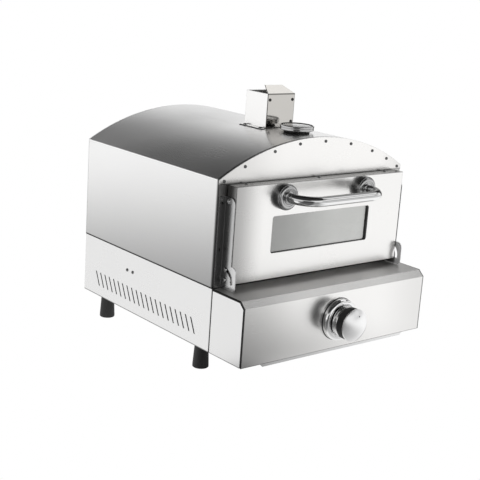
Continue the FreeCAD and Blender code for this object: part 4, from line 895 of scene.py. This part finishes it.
def make_inlet_thread():
    """Thread ridges on the gas inlet's spigot, as rings."""
    bore, root, crest = 0.0062, 0.0065, 0.0071
    pitch, lead_in, turns = 0.0014, 0.0004, 8
    profile = [(bore, 0), (root, 0)]
    for turn in range(turns):
        start = lead_in + turn * pitch
        profile += [(root, start), (crest, start + 0.0006), (crest, start + 0.0007)]
    end = lead_in + turns * pitch
    profile += [(root, end), (root, end + 0.0006), (bore, end + 0.0006)]
    thread = Solid()
    thread.lathe(Vector((INLET_CENTRE.x, INLET_END - 0.0132, INLET_CENTRE.z)), Y_AXIS,
                 profile, 48)
    thread.piece("gas_inlet_thread", "brass", "oven")


# ---- studio --------------------------------------------------------------------------------

# Dark gaps in the light, as bearings in degrees: from, to and how soft their edges are.
GAP_FRONT_LEFT, GAP_RIGHT = (-60, -25, 12), (100, 124, 7)


def angle_round(graph, axes):
    """Bearing of a place or direction: 0 in front of the oven, a quarter turn to its right."""
    return graph.math("ARCTAN2", axes["X"], graph.math("MULTIPLY", axes["Y"], -1.0))


def sector(graph, turn, start, end, soft):
    """1 where a bearing is between start and end, both in degrees, with soft edges."""
    return graph.between(turn, *(math.radians(angle) for angle in (start, end, soft)))


def make_world():
    """White to the camera. To reflections a bright horizon under a dark ceiling, brighter in
    front, with two dark gaps and a low dark band at the front right."""
    world = bpy.data.worlds.new("studio")
    world.use_nodes = True
    bpy.context.scene.world = world
    graph = Graph(world.node_tree)
    axes = graph.axes(graph.add("TexCoord").outputs["Generated"])
    turn = angle_round(graph, axes)
    sky = graph.curve(graph.mapped(axes["Z"], 0.0, 1.0),
                      [(0.0, 1.0), (0.335, 0.98), (0.445, 0.48), (0.53, 0.11), (0.64, 0.03),
                       (1.0, 0.03)])
    in_front = graph.math("MULTIPLY", sector(graph, turn, -25, 55, 14),
                          graph.mapped(axes["Z"], 0.5, 0.64, 0.97, 0.0, smooth=True))
    sky = graph.math("MAXIMUM", sky, in_front)
    front_left = graph.math("MULTIPLY", sector(graph, turn, *GAP_FRONT_LEFT),
                            graph.mapped(axes["Z"], 0.25, 0.4, 0.9, 0.0, smooth=True))
    right = graph.math("MULTIPLY", sector(graph, turn, *GAP_RIGHT), 0.9)
    band = graph.math("MULTIPLY", sector(graph, turn, 22, 72, 8),
                      graph.between(axes["Z"], 0.2, 0.28, 0.03))
    band = graph.math("MULTIPLY", band, 0.8)
    for dark in (front_left, right, band):
        sky = graph.darkened(sky, dark)
    seen = graph.add("LightPath").outputs["Is Camera Ray"]
    back = graph.add("Background", {"Color": graph.mix(seen, sky, (1, 1, 1, 1))})
    graph.add("OutputWorld", {"Surface": back.outputs["Background"]})


def make_floor():
    """White to the camera; to reflections darker in front on the left and in the gaps."""
    half = 12
    mesh = bpy.data.meshes.new("floor")
    mesh.from_pydata([(-half, -half, 0), (half, -half, 0), (half, half, 0), (-half, half, 0)], [],
                     [(0, 1, 2, 3)])
    floor = add_object("floor", mesh)
    material, graph = new_material("floor")
    axes = graph.axes(graph.add("TexCoord").outputs["Object"])
    in_front = graph.mapped(axes["Y"], -0.34, -0.18, 1.0, 0.0, smooth=True)
    at_left = graph.mapped(axes["X"], -0.1, 0.3, 1.0, 0.0, smooth=True)
    level = graph.mapped(graph.math("MULTIPLY", in_front, at_left), 0.0, 1.0, 1.0, 0.36)
    turn = angle_round(graph, axes)
    front_left = graph.math("MULTIPLY", sector(graph, turn, *GAP_FRONT_LEFT), 0.7)
    right = graph.math("MULTIPLY", sector(graph, turn, *GAP_RIGHT), 0.9)
    for dark in (front_left, right):
        level = graph.darkened(level, dark)
    seen = graph.add("LightPath").outputs["Is Camera Ray"]
    level = graph.math("MAXIMUM", level, seen)
    glow = graph.add("Emission", {"Color": (1, 1, 1, 1), "Strength": level})
    graph.add("OutputMaterial", {"Surface": glow.outputs["Emission"]})
    mesh.materials.append(material)


def make_softbox():
    """One wide lamp above and to the right, which the camera doesn't see."""
    place, target = Vector((1.95, 0.12, 2.3)), Vector((0, 0, 0.2))
    light = bpy.data.lights.new("softbox_right", "AREA")
    light.shape = "RECTANGLE"
    light.size, light.size_y = 2.8, 1.4
    light.energy = 12
    box = add_object("softbox_right", light)
    box.location = place
    box.rotation_mode = "QUATERNION"
    box.rotation_quaternion = (target - place).to_track_quat("-Z", "Y")
    box.visible_camera = False


def make_studio():
    make_world()
    make_floor()
    make_softbox()
    bpy.context.scene.view_settings.view_transform = "Standard"


make_camera()
paint_nodes()
make_screws()
make_grip()
make_sleeve()
make_bezel_seal()
make_index_dot()
ease_spring()
make_rosettes()
make_case()
make_scale()
make_thermometer_seals()
make_flue_seal()
make_inlet_thread()
make_studio()
